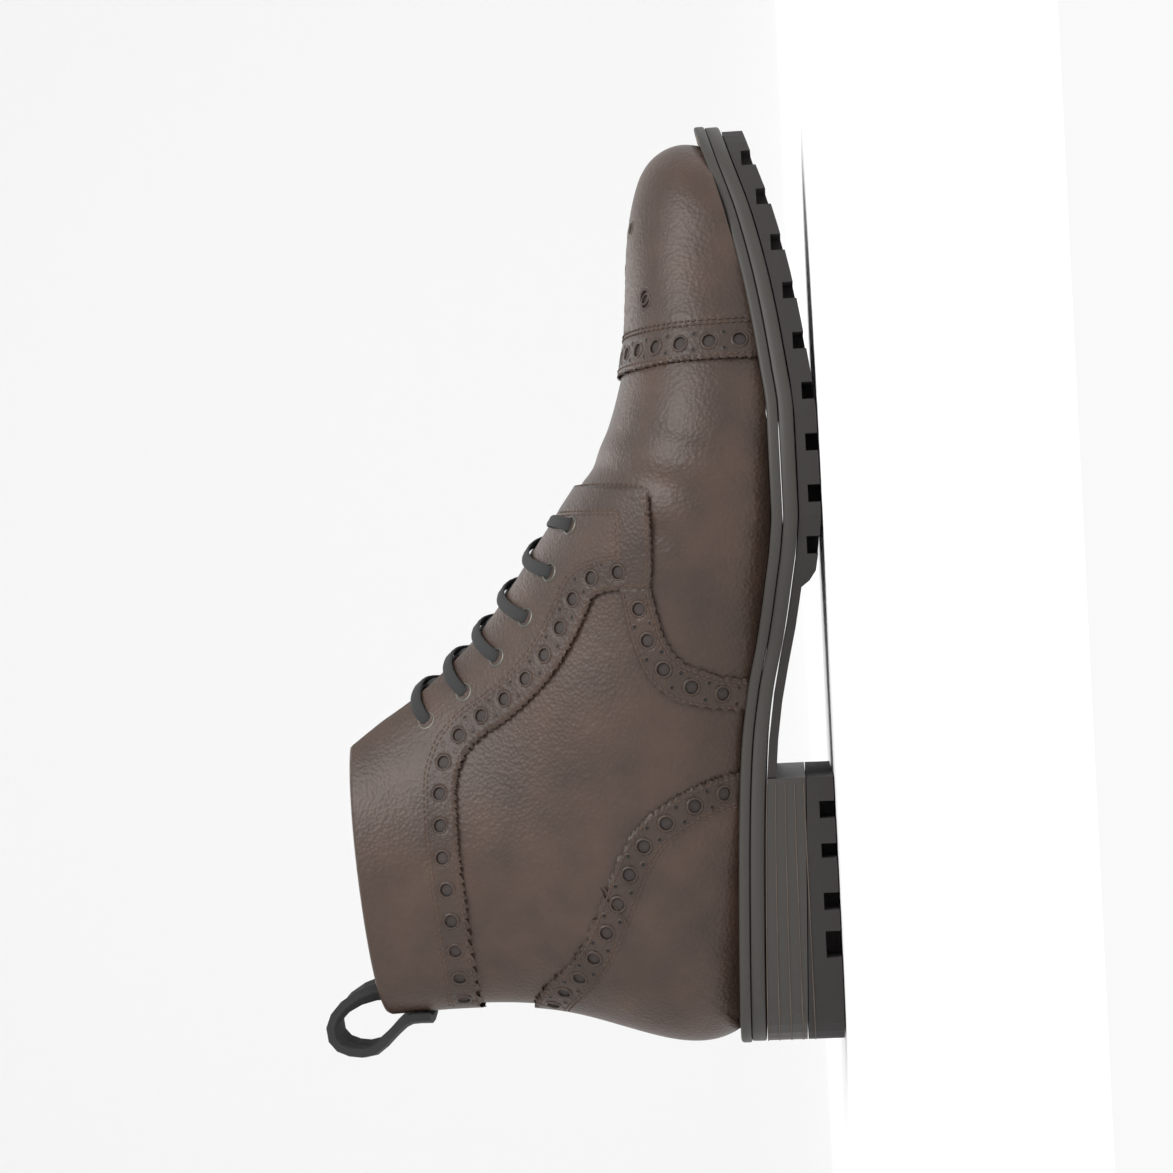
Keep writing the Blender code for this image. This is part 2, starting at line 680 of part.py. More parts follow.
def build_sole():
    """Welt, midsole, outsole, heel stack and top piece."""
    loop = plan_loop()
    made = [welt_ring(loop)]

    mid_loop = inset(loop, MIDSOLE_STEP)
    x = stations(mid_loop, 36)
    mid_top = WELT + CLEAR
    mid_low = WELT + MIDSOLE
    midsole = slab("midsole", mid_loop, x, lambda x: seat(x) - mid_top, lambda x: seat(x) - mid_low)
    core_loop = inset(loop, WELT_WIDTH + FIT)
    core = slab("core", core_loop, stations(core_loop, 26),
                lambda x: seat(x) - CLEAR, lambda x: seat(x) - mid_top - MIDSOLE / 4.0)
    made.append(boolean(midsole, core, "UNION"))

    out_loop = inset(loop, RUBBER_STEP)
    start = x_of(LUG_START)
    step = [start - 0.006, start - 0.002, start, start + 0.003]
    x = stations(out_loop, 26, x_from=BREAST)
    x = np.array(sorted([v for v in x if min(abs(v - s) for s in step) > 0.003] + step))

    def under(x):
        lug = np.clip((x - start + 0.002) / 0.002, 0.0, 1.0) * (LUG - 0.0015)
        lug += np.clip((x - start) / 0.003, 0.0, 1.0) * 0.0015
        return seat(x) - WELT - MIDSOLE - RUBBER - lug
    outsole = slab("outsole", out_loop, x, lambda x: seat(x) - mid_low - CLEAR, under)
    cuts = []
    for share in LUG_GAPS:
        c = float(x_of(share))
        low, high = (float(v) for v in edges_at(out_loop, np.array(c)))
        up = float(seat(c)) - mid_low - RUBBER
        for y0, y1 in ((low - 0.02, low + LUG_DEPTH_IN), (high - LUG_DEPTH_IN, high + 0.02)):
            cuts.append(box(c - LUG_GAP / 2, c + LUG_GAP / 2, y0, y1, up - LUG - 0.02, up))
    made.append(boolean(outsole, joined(cuts), "DIFFERENCE"))

    def top_piece(x):
        t = (x - HEEL_BACK) / HEEL_TREAD
        return TOP_PIECE_BACK + (TOP_PIECE_FRONT - TOP_PIECE_BACK) * t
    stack_loop = inset(loop, STACK_STEP)
    x = stations(stack_loop, 16, x_to=BREAST - CLEAR)
    made.append(slab("heel_stack", stack_loop, x, lambda x: seat(x) - mid_low - CLEAR,
                     lambda x: top_piece(x) + CLEAR))
    piece = slab("heel_top_piece", stack_loop, x, top_piece, lambda x: x * 0.0)
    cuts = []
    for a, b in HEEL_NOTCHES:
        xa, xb = float(x_of(a)), float(x_of(b))
        low, high = (float(v) for v in edges_at(stack_loop, np.array((xa + xb) / 2)))
        for y0, y1 in ((low - 0.02, low + HEEL_NOTCH_IN), (high - HEEL_NOTCH_IN, high + 0.02)):
            cuts.append(box(xa, xb, y0, y1, -0.01, HEEL_NOTCH))
    made.append(boolean(piece, joined(cuts), "DIFFERENCE"))
    return made


def eyelet_frames():
    """Seat and axis of each eyelet on the facings, by side, bottom pair first."""
    frames = {}
    for side, name in ((LATERAL, "lateral"), (MEDIAL, "medial")):
        for k, (along, rise) in enumerate(EYELETS, 1):
            x, z = side_point(along, rise)
            s, f = find_row(x, z)
            _, _, _, lateral, medial, widest, n_front, n_back = last(s)
            width = lateral if side < 0 else medial
            w = float(width * half_width(f, widest, n_front, n_back)) * side
            point, normal = front_point(s, w, 0.0)
            frames[name, k] = (Vector(point), Vector(normal), s, w)
    return frames


def turned(profile, centre, axis, sides=8):
    """Points and faces of a closed profile turned about an axis, as (radius, height) pairs."""
    turn = Vector((0, 0, 1)).rotation_difference(axis).to_matrix()
    verts, faces = [], []
    n = len(profile)
    for i in range(sides):
        a = 2 * math.pi * i / sides
        for r, h in profile:
            verts.append(centre + turn @ Vector((r * math.cos(a), r * math.sin(a), h)))
    for i in range(sides):
        for j in range(n):
            a, b = i * n, (i + 1) % sides * n
            faces.append((a + j, b + j, b + (j + 1) % n, a + (j + 1) % n))
    return verts, faces


def rod(centre, axis, radius, low, high, sides=8):
    """Points and faces of a plain rod for a hole."""
    turn = Vector((0, 0, 1)).rotation_difference(axis).to_matrix()
    ring = [(radius * math.cos(2 * math.pi * i / sides), radius * math.sin(2 * math.pi * i / sides))
            for i in range(sides)]
    verts = [centre + turn @ Vector((x, y, h)) for h in (low, high) for x, y in ring]
    faces = [tuple(range(sides)), tuple(range(2 * sides - 1, sides - 1, -1))]
    faces += [(i, i + sides, (i + 1) % sides + sides, (i + 1) % sides) for i in range(sides)]
    return verts, faces


def build_upper(frames):
    """The upper and the overlays that lie on it."""
    def holes(names):
        return joined([rod(frames[n][0], frames[n][1], EYELET_TUBE + CLEAR, -0.006, 0.006)
                       for n in names])

    def layer(name):
        return shell(name, CLEAR, CLEAR + OVERLAY, UPPER_OPEN_ROW)
    upper = boolean(shell("upper", -WALL, 0.0, UPPER_OPEN_ROW), holes(list(frames)), "DIFFERENCE")

    far, wide, deep = 0.4, 0.2, -0.05
    cap_line = smooth_line(CAP_EDGE, 1)
    cap = np.concatenate([cap_line, [(cap_line[-1][0], wide), (far, wide), (far, deep),
                                     (cap_line[0][0], deep)]])
    made = [upper, boolean(layer("toe_cap"), prism(cap, -wide, wide), "INTERSECT")]

    edge = smooth_line(COUNTER_EDGE, 1)
    outline = np.concatenate([edge, [(-wide, edge[-1][1]), (-wide, deep), (edge[0][0], deep)]])
    made.append(boolean(layer("counter"), prism(outline, -wide, wide), "INTERSECT"))

    edge = smooth_line(FACING_EDGE, 1)
    outline = np.concatenate([edge, [(-wide, edge[-1][1]), (-wide, far), (edge[0][0], far)]])
    back_middle = float(last(16.0)[2])
    open_x = float(last(UPPER_OPEN_ROW + 2.0 * OPENING_ROWS)[0][0])
    for name, low, high in (("lateral", -wide, back_middle - CLEAR / 2),
                            ("medial", back_middle + CLEAR / 2, wide)):
        part = boolean(layer("facing_" + name), prism(outline, low, high), "INTERSECT")
        gap = joined([box(open_x, far, -THROAT_HALF, THROAT_HALF, 0.0, far)])
        part = boolean(part, gap, "DIFFERENCE")
        made.append(boolean(part, holes([n for n in frames if n[0] == name]), "DIFFERENCE"))

    front, rear = smooth_line(WING_FRONT, 2), smooth_line(WING_REAR, 2)
    for name, low, high in (("lateral", -wide, 0.0), ("medial", 0.0, wide)):
        strip = prism(np.concatenate([front, rear[::-1]]), low, high)
        made.append(boolean(layer("wing_" + name), strip, "INTERSECT"))
    return made


def build_inside():
    """Tongue and insole."""
    low = -(WALL + CLEAR + TONGUE)
    rows = np.linspace(7.1, LAST_ROWS - 0.15, 14)
    across = np.linspace(-1.0, 1.0, 8)
    verts = []
    for s in rows:
        half = TONGUE_HALF * (0.72 + 0.28 * min(1.0, (s - 7.1) / 3.0))
        for t in across:
            verts.append(front_point(s, half * t, 0.0, 0.005)[0])
    n = len(across)
    faces = [(i * n + j, i * n + j + 1, (i + 1) * n + j + 1, (i + 1) * n + j)
             for i in range(len(rows) - 1) for j in range(n - 1)]
    tongue = thicken("tongue", np.array(verts), faces, low, -(WALL + CLEAR + FIT / 2))

    s = np.concatenate([np.linspace(TIP_ROW, 2.0, 30), np.linspace(2.05, heel_row(), 150)])
    sides = {LATERAL: [], MEDIAL: []}
    for value in s:
        front, back, middle, lateral, medial, widest, n_front, n_back = last(value)
        f = feather(value)
        share = half_width(np.array(f), widest, n_front, n_back)
        for side, width in ((LATERAL, lateral), (MEDIAL, medial)):
            sides[side].append((front[0] + f * (back[0] - front[0]), middle + side * width * share))
    loop = np.array(sides[LATERAL] + sides[MEDIAL][::-1])
    inside = inset_by_cut(loop, WALL + FIT)
    x = stations(inside, 30)
    insole = slab("insole", inside, x, lambda x: seat(x) + CLEAR + INSOLE, lambda x: seat(x) + CLEAR)
    return [tongue, insole]


def inset_by_cut(loop, distance):
    """A loop moved inwards after its points are spread evenly."""
    closed = np.concatenate([loop, loop[:1]])
    length = np.concatenate([[0.0], np.cumsum(np.linalg.norm(np.diff(closed, axis=0), axis=1))])
    want = np.linspace(0.0, length[-1], 240, endpoint=False)
    even = np.stack([np.interp(want, length, closed[:, i]) for i in range(2)], -1)
    return inset(even, distance)


def build_eyelets(frames):
    """Twelve rimmed tubes through the facings and the upper."""
    base = CLEAR + OVERLAY + CLEAR
    made = []
    for (name, k), (point, normal, _, _) in frames.items():
        profile = [(EYELET_BORE, -WALL + CLEAR), (EYELET_TUBE, -WALL + CLEAR), (EYELET_TUBE, base),
                   (EYELET_RIM, base), (EYELET_RIM, base + EYELET_RIM_THICK),
                   (EYELET_BORE, base + EYELET_RIM_THICK)]
        verts, faces = turned(profile, point, normal)
        made.append(tidy(make_mesh("eyelet_%s_%d" % (name, k), verts, faces)))
    return made


def strap(name, route, width, thick):
    """A flat lace along (point, normal) pairs."""
    points = np.array([p for p, _ in route])
    normals = np.array([n for _, n in route])
    knots = np.linspace(0.0, 1.0, len(points))
    fine = np.linspace(0.0, 1.0, len(points) + 2)
    path = np.stack([spline(knots, points[:, i])(fine) for i in range(3)], -1)
    up = np.stack([np.interp(fine, knots, normals[:, i]) for i in range(3)], -1)
    run = np.gradient(path, axis=0)
    verts = []
    for p, t, n in zip(path, run, up):
        t = t / np.linalg.norm(t)
        side = np.cross(n, t)
        side /= np.linalg.norm(side)
        n = np.cross(t, side)
        for a, b in ((-1, -1), (1, -1), (1, 1), (-1, 1)):
            verts.append(p + side * a * width / 2 + n * b * thick / 2)
    m = len(path)
    faces = [(3, 2, 1, 0), tuple(4 * (m - 1) + k for k in range(4))]
    for i in range(m - 1):
        a, b = 4 * i, 4 * i + 4
        faces += [(a + k, a + (k + 1) % 4, b + (k + 1) % 4, b + k) for k in range(4)]
    return tidy(make_mesh(name, verts, faces))


def lace_end(frame):
    """How far across a lace ends, beside its eyelet's rim."""
    point, _, s, w = frame
    side = math.copysign(1.0, w)
    half = abs(w)
    while (Vector(front_point(s, side * half, 0.0)[0]) - point).length < EYELET_RIM + 2.0 * CLEAR:
        half -= 0.0001
    return side * half


def build_laces(frames):
    """The bar over the bottom eyelets and a cross between each two pairs."""
    over = CLEAR + OVERLAY + LACE_THICK / 2 + 1.5 * CLEAR
    made = []

    def leg(eyelet, from_s, from_w):
        s, w = frames[eyelet][2], lace_end(frames[eyelet])
        edge = math.copysign(throat_half(s, UPPER_OPEN_ROW), w)
        route = [(from_s, from_w, CLEAR + LACE_THICK / 2)]
        for t, lift in ((0.45, over * 0.85), (0.8, over * 1.15)):
            route.append((from_s + (s - from_s) * t, from_w + (edge - from_w) * t, lift))
        route.append((s, (edge + w) / 2.0, over * 1.1))
        route.append((s, w, over))
        return [front_point(a, b, c, 0.004) for a, b, c in route]
    one, two = frames["lateral", 1], frames["medial", 1]
    ends = [lace_end(one), lace_end(two)]
    half = throat_half(one[2], UPPER_OPEN_ROW)
    route = [(one[2], ends[0], over), (one[2], (ends[0] - half) / 2.0, over * 1.1),
             (one[2], -half * 0.5, over * 1.1), (two[2], half * 0.5, over * 1.1),
             (two[2], (ends[1] + half) / 2.0, over * 1.1), (two[2], ends[1], over)]
    made.append(strap("lace_bar", [front_point(a, b, c, 0.004) for a, b, c in route],
                      LACE_WIDTH, LACE_THICK))
    for k in range(2, len(EYELETS) + 1):
        low = {name: frames[name, k - 1] for name in ("lateral", "medial")}
        start = throat_half(low["lateral"][2], UPPER_OPEN_ROW) - LACE_WIDTH * 0.95
        a = strap("lace_cross_%d" % (k - 1), leg(("lateral", k), low["medial"][2] + 0.15, start),
                  LACE_WIDTH, LACE_THICK)
        b = strap("other", leg(("medial", k), low["lateral"][2] + 0.15, -start),
                  LACE_WIDTH, LACE_THICK)
        made.append(boolean(a, b, "UNION"))
    return made


def build_loop():
    """The pull loop at the back of the collar."""
    front, back, middle = last(LAST_ROWS)[:3]
    inner = -(WALL + 4.0 * CLEAR + LOOP_THICK / 2.0) / LOOP_RISE
    outer = (OVERLAY + 4.0 * CLEAR + LOOP_THICK / 2.0) / LOOP_RISE
    line = [(inner, -LOOP_INNER_END), (inner, -0.06)] + list(LOOP_LINE)
    line += [(outer + 0.06, -0.18), (outer, -0.36), (outer, -LOOP_OUTER_END)]
    line = np.array(line)
    x = back[0] - line[:, 0] * LOOP_RISE
    z = back[1] + line[:, 1] * LOOP_RISE
    knots = np.linspace(0.0, 1.0, len(x))
    fine = np.linspace(0.0, 1.0, 19)
    px, pz = spline(knots, x)(fine), spline(knots, z)(fine)
    run = np.stack([np.gradient(px), np.gradient(pz)], -1)
    run /= np.linalg.norm(run, axis=1)[:, None]
    across = np.linspace(-0.5, 0.5, 4)
    hug = np.interp(fine, (0.0, 0.15, 0.45, 0.8, 1.0), (1.6, 1.6, 0.3, 0.7, 0.75))
    _, _, _, width, _, widest, _, square = last(LAST_ROWS)
    reach = float((1.0 - widest) * (front[0] - back[0]))

    def wrap(y):
        """How far forward the collar's back has come at a place across."""
        share = min(abs(y) / float(width), 1.0)
        return reach * (1.0 - (1.0 - share ** square) ** (1.0 / square))
    rings = []
    for i in range(len(fine)):
        ring = []
        for sign in (1.0, -1.0):
            order = across if sign > 0 else across[::-1]
            for t in order:
                y = t * LOOP_WIDTH
                bend = hug[i] * wrap(y)
                nx, nz = -run[i, 1], run[i, 0]
                ring.append((px[i] + bend + nx * sign * LOOP_THICK / 2, float(middle) + y,
                             pz[i] + nz * sign * LOOP_THICK / 2))
        rings.append(ring)
    m = len(rings[0])
    verts = [v for ring in rings for v in ring]
    faces = [tuple(range(m)), tuple(range(len(verts) - 1, len(verts) - m - 1, -1))]
    for i in range(len(rings) - 1):
        for j in range(m):
            a, b = i * m, (i + 1) * m
            faces.append((a + j, b + j, b + (j + 1) % m, a + (j + 1) % m))
    return tidy(make_mesh("pull_loop", verts, faces))


PAINTS = (
    ("upper", (0.060, 0.042, 0.034), 0.45, 0.0),
    ("toe_cap", (0.060, 0.042, 0.034), 0.45, 0.0),
    ("counter", (0.055, 0.038, 0.031), 0.45, 0.0),
    ("facing", (0.055, 0.038, 0.031), 0.45, 0.0),
    ("wing", (0.050, 0.036, 0.030), 0.45, 0.0),
    ("tongue", (0.045, 0.034, 0.029), 0.50, 0.0),
    ("insole", (0.012, 0.012, 0.013), 0.70, 0.0),
    ("pull_loop", (0.020, 0.019, 0.019), 0.80, 0.0),
    ("welt", (0.030, 0.024, 0.021), 0.55, 0.0),
    ("midsole", (0.035, 0.029, 0.026), 0.60, 0.0),
    ("outsole", (0.022, 0.021, 0.021), 0.75, 0.0),
    ("heel_stack", (0.033, 0.027, 0.024), 0.60, 0.0),
    ("heel_top", (0.020, 0.020, 0.020), 0.75, 0.0),
    ("eyelet", (0.110, 0.100, 0.092), 0.35, 1.0),
    ("lace", (0.022, 0.022, 0.022), 0.70, 0.0),
)


def paint(obj):
    """Give a solid its own plain material."""
    for stem, colour, rough, metal in PAINTS:
        if obj.name.startswith(stem):
            mat = bpy.data.materials.new(obj.name)
            mat.use_nodes = True
            shader = mat.node_tree.nodes["Principled BSDF"]
            shader.inputs["Base Color"].default_value = (*colour, 1.0)
            shader.inputs["Roughness"].default_value = rough
            shader.inputs["Metallic"].default_value = metal
            mat.diffuse_color = (*colour, 1.0)
            obj.data.materials.clear()
            obj.data.materials.append(mat)
            return


def main():
    """Build the whole boot."""
    for obj in list(bpy.data.objects):
        bpy.data.objects.remove(obj)
    frames = eyelet_frames()
    made = build_sole() + build_upper(frames) + build_inside()
    made += build_eyelets(frames) + build_laces(frames) + [build_loop()]
    for obj in made:
        paint(obj)


main()
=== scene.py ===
"""Looks of the brogue ankle boot: fine leather, seams, punched holes, lacing, sole and studio."""
from __future__ import annotations

import logging
import math
from collections.abc import Callable, Sequence
from dataclasses import dataclass
from enum import Enum

import bpy
import numpy as np
from mathutils import Matrix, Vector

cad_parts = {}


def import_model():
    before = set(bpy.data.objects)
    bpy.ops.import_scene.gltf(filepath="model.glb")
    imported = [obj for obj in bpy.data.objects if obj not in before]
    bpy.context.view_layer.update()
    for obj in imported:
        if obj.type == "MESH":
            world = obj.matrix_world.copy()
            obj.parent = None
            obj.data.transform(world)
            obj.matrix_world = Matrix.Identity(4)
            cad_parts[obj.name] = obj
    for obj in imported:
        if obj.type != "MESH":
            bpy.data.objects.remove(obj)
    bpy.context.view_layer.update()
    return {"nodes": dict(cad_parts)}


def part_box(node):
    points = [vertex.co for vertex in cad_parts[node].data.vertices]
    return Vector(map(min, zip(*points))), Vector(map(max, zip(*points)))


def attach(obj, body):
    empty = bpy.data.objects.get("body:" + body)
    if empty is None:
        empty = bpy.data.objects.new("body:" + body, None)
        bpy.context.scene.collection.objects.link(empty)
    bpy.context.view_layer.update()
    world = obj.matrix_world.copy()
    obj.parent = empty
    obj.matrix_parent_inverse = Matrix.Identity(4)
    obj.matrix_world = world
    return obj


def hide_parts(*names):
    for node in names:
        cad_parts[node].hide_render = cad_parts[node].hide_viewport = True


log = logging.getLogger("boot")
Array = np.ndarray
Curve = Callable[[object], Array]

# Sizes and tables of the CAD part, in metres and shares
SOLE_LENGTH = 0.3035
BALL_WIDTH = 0.1106
HEEL_TREAD = 0.0890
HEEL_LIFT = 0.0335
TOE_SPRING = 0.0200
WELT = 0.0034
MIDSOLE = 0.0048
RUBBER = 0.0032
LUG = 0.0038
STACK_STEP = 0.0005
SHAFT_RISE = 0.1265
WALL = 0.0020
OVERLAY = 0.0012
TONGUE = 0.0022
TONGUE_HALF = 0.0215
THROAT_HALF = 0.0095
CLEAR = 0.0003
FIT = 0.0006
HEEL_BACK = -HEEL_TREAD / 2.0
BREAST = HEEL_TREAD / 2.0
STACK = WELT + MIDSOLE + RUBBER + LUG
TIP_ROW = 0.03
UPPER_OPEN_ROW = 8.5
OPENING_ROWS = 0.12
TOE_TIP_SHIFT = 0.045
RIDGE_ROUND = 0.004
HOLE_PITCH = 0.0103
CAP_HOLE_PITCH = 0.0093
SCALLOP_PITCH = 0.0026
SCALLOP_DEPTH = 0.0005
WELT_STITCH_PITCH = 0.0053

# Height of the welt's top: along, heel's lift, toe spring
SEAT = (
    (0.000, 1.000, 0.000),
    (0.147, 0.905, 0.000),
    (0.249, 0.822, 0.000),
    (0.324, 0.722, 0.000),
    (0.384, 0.567, 0.000),
    (0.440, 0.345, 0.000),
    (0.496, 0.165, 0.000),
    (0.535, 0.055, 0.000),
    (0.570, 0.000, 0.000),
    (0.670, 0.000, 0.000),
    (0.720, 0.000, 0.075),
    (0.796, 0.000, 0.230),
    (0.881, 0.000, 0.490),
    (0.957, 0.000, 0.830),
    (1.000, 0.000, 1.000),
)

# Plan of the sole: along, medial, lateral
PLAN = (
    (0.012, 0.172, 0.172),
    (0.035, 0.253, 0.253),
    (0.074, 0.303, 0.307),
    (0.133, 0.325, 0.330),
    (0.199, 0.324, 0.328),
    (0.265, 0.308, 0.318),
    (0.344, 0.285, 0.316),
    (0.417, 0.292, 0.356),
    (0.470, 0.335, 0.425),
    (0.512, 0.378, 0.482),
    (0.552, 0.411, 0.518),
    (0.595, 0.439, 0.531),
    (0.638, 0.461, 0.526),
    (0.680, 0.470, 0.502),
    (0.743, 0.454, 0.452),
    (0.789, 0.434, 0.410),
    (0.832, 0.407, 0.368),
    (0.875, 0.374, 0.318),
    (0.918, 0.331, 0.268),
    (0.957, 0.268, 0.198),
    (0.985, 0.182, 0.092),
)

# Sections of the last, toe to collar: front along and rise, back along and rise, middle, lateral, medial,
# widest place, front and back squareness
LAST = (
    (0.972, 0.003, 0.819, -0.075, 0.041, 0.350, 0.330, 0.88, 2.10, 2.20),
    (0.974, 0.062, 0.819, -0.112, 0.041, 0.350, 0.330, 0.80, 2.15, 2.20),
    (0.960, 0.134, 0.819, -0.122, 0.039, 0.352, 0.330, 0.73, 2.20, 2.20),
    (0.928, 0.198, 0.806, -0.146, 0.036, 0.358, 0.334, 0.67, 2.28, 2.20),
    (0.878, 0.258, 0.779, -0.168, 0.033, 0.374, 0.346, 0.63, 2.32, 2.20),
    (0.815, 0.302, 0.743, -0.173, 0.025, 0.406, 0.372, 0.60, 2.32, 2.25),
    (0.750, 0.343, 0.700, -0.173, 0.016, 0.444, 0.401, 0.57, 2.28, 2.30),
    (0.684, 0.406, 0.644, -0.169, 0.005, 0.472, 0.414, 0.55, 2.20, 2.30),
    (0.621, 0.485, 0.575, -0.169, 0.000, 0.474, 0.402, 0.54, 2.05, 2.20),
    (0.563, 0.587, 0.489, -0.181, 0.002, 0.444, 0.382, 0.54, 1.90, 2.00),
    (0.506, 0.670, 0.377, -0.190, 0.009, 0.402, 0.364, 0.54, 1.80, 1.75),
    (0.461, 0.739, 0.245, -0.161, 0.016, 0.389, 0.355, 0.55, 1.75, 1.80),
    (0.430, 0.803, 0.107, -0.113, 0.022, 0.372, 0.346, 0.57, 1.75, 2.15),
    (0.405, 0.861, 0.020, 0.002, 0.024, 0.346, 0.330, 0.58, 1.75, 2.15),
    (0.386, 0.913, 0.010, 0.187, 0.025, 0.312, 0.303, 0.57, 1.75, 2.10),
    (0.371, 0.962, 0.040, 0.435, 0.027, 0.271, 0.267, 0.55, 1.75, 2.15),
    (0.359, 0.997, 0.050, 0.689, 0.027, 0.240, 0.240, 0.53, 1.80, 2.20),
    (0.348, 1.031, 0.046, 0.924, 0.027, 0.222, 0.222, 0.52, 1.85, 2.20),
)

# Throat's gap: row, share of the half
THROAT = (
    (9.0, 1.00),
    (11.0, 0.88),
    (13.0, 0.76),
    (15.0, 0.70),
    (16.0, 0.74),
    (17.0, 0.84),
)

# Seams in the side view: along, rise
CAP_EDGE = (
    (0.727, -0.100),
    (0.728, 0.000),
    (0.729, 0.120),
    (0.729, 0.220),
    (0.727, 0.310),
    (0.727, 0.400),
    (0.727, 0.500),
)

FACING_EDGE = (
    (0.613, 0.640),
    (0.612, 0.479),
    (0.610, 0.376),
    (0.603, 0.300),
    (0.564, 0.298),
    (0.523, 0.288),
    (0.497, 0.290),
    (0.497, 0.368),
    (0.491, 0.425),
    (0.475, 0.440),
    (0.444, 0.466),
    (0.414, 0.499),
    (0.389, 0.543),
    (0.364, 0.607),
    (0.343, 0.679),
    (0.322, 0.716),
    (0.294, 0.728),
    (0.241, 0.719),
    (0.188, 0.704),
    (0.134, 0.690),
    (0.088, 0.682),
    (0.000, 0.676),
    (-0.050, 0.676),
)

WING_FRONT = (
    (0.493, 0.279),
    (0.471, 0.260),
    (0.440, 0.224),
    (0.419, 0.175),
    (0.407, 0.107),
    (0.399, 0.031),
    (0.395, -0.060),
)

WING_REAR = (
    (0.493, 0.357),
    (0.462, 0.332),
    (0.421, 0.285),
    (0.389, 0.217),
    (0.372, 0.132),
    (0.365, 0.027),
    (0.362, -0.060),
)

COUNTER_EDGE = (
    (0.303, -0.100),
    (0.300, 0.007),
    (0.291, 0.096),
    (0.276, 0.170),
    (0.255, 0.242),
    (0.225, 0.291),
    (0.175, 0.342),
    (0.133, 0.385),
    (0.100, 0.440),
    (0.078, 0.496),
    (0.051, 0.540),
    (0.000, 0.556),
    (-0.050, 0.560),
)

EYELETS = (
    (0.566, 0.504),
    (0.518, 0.551),
    (0.471, 0.601),
    (0.430, 0.664),
    (0.394, 0.737),
    (0.365, 0.830),
)
# Soft creases over the ball: depth, place along, width
CREASES = ((0.0007, 0.118, 0.004), (0.0009, 0.134, 0.005), (0.0006, 0.148, 0.0035))

# Welt and midsole edges: inset, height from the welt's top, shade, in millimetres. The shade is painted
# shade, darkest in the welt's stitch groove and on the faces where welt, midsole and rubber meet.
WELT_PROFILE = ((11.0, -3.3, 0.5), (0.3, -3.3, 0.5), (0.05, -2.9, 0.1), (0.05, -0.8, 0.0), (0.35, -0.15, 0.0),
                (0.9, 0.1, 0.0), (1.6, 0.05, 0.0), (2.1, -0.3, 0.3), (2.3, -0.75, 0.6), (3.5, -0.75, 0.6),
                (3.8, -0.2, 0.3), (4.3, 0.0, 0.0), (6.5, 0.0, 0.0), (11.0, 0.0, 0.3))
MIDSOLE_PROFILE = ((11.6, -3.5, 0.5), (0.9, -3.5, 0.8), (0.5, -3.8, 0.2), (0.45, -5.8, 0.0),
                   (0.45, -7.7, 0.1), (0.9, -8.1, 0.6), (11.6, -8.1, 0.5))
# The medallion's holes: millimetres along and out from the ridge, the same on both sides
MEDALLION_LARGE = (
    (197.8, 31.3), (199.2, 0.0), (199.4, 30.4), (212.3, 0.0), (223.9, 15.2), (224.3, 14.4), (224.6, 0.0),
    (242.7, 0.6),
)
MEDALLION_SMALL = (
    (187.5, 0.0), (189.5, 17.4), (190.5, 13.2), (190.5, 21.3), (192.4, 3.4), (192.8, 9.5), (192.8, 9.7),
    (193.2, 4.0), (193.2, 24.1), (195.7, 6.6), (195.7, 6.7), (196.1, 25.6), (196.2, 17.1), (197.3, 20.0),
    (197.8, 13.6), (198.7, 25.8), (199.5, 4.4), (199.8, 4.4), (199.9, 21.8), (200.8, 11.1), (203.5, 4.0),
    (203.5, 16.5), (204.2, 9.5), (205.1, 21.3), (207.3, 16.7), (207.7, 9.2), (208.4, 3.5), (209.9, 18.9),
    (210.4, 22.1), (211.9, 10.2), (215.9, 14.7), (216.8, 5.6), (216.8, 18.9), (218.3, 4.0), (218.8, 10.0),
    (218.9, 21.9), (221.2, 12.5), (222.0, 22.6), (224.1, 7.0), (226.1, 22.4), (228.4, 6.3), (228.4, 20.6),
    (231.2, 17.6), (231.3, 3.8), (231.9, 9.1), (232.2, 15.4), (233.2, 12.5), (236.5, 14.9), (238.0, 3.8),
    (239.2, 9.9), (240.3, 6.8),
)


def column(table: Sequence[Sequence[float]], index: int) -> list[float]:
    """One column of a table."""
    return [row[index] for row in table]


def spline(knots: Sequence[float], values: Sequence[float]) -> Curve:
    """A natural cubic through the values.

    Args:
        knots: Places.
        values: Values there.

    Returns:
        A function of arrays.
    """
    k = np.asarray(knots, float)
    v = np.asarray(values, float)
    n = len(k)
    h = np.diff(k)
    a = np.zeros((n, n))
    r = np.zeros(n)
    a[0, 0] = a[-1, -1] = 1.0
    for i in range(1, n - 1):
        a[i, i - 1:i + 2] = h[i - 1], 2.0 * (h[i - 1] + h[i]), h[i]
        r[i] = 6.0 * ((v[i + 1] - v[i]) / h[i] - (v[i] - v[i - 1]) / h[i - 1])
    m = np.linalg.solve(a, r)

    def at(x: object) -> Array:
        """The curve at places."""
        x = np.asarray(x, float)
        i = np.clip(np.searchsorted(k, x) - 1, 0, n - 2)
        w = h[i]
        p = (k[i + 1] - x) / w
        q = (x - k[i]) / w
        bend = (p ** 3 - p) * m[i] + (q ** 3 - q) * m[i + 1]
        return p * v[i] + q * v[i + 1] + bend * w * w / 6.0
    return at


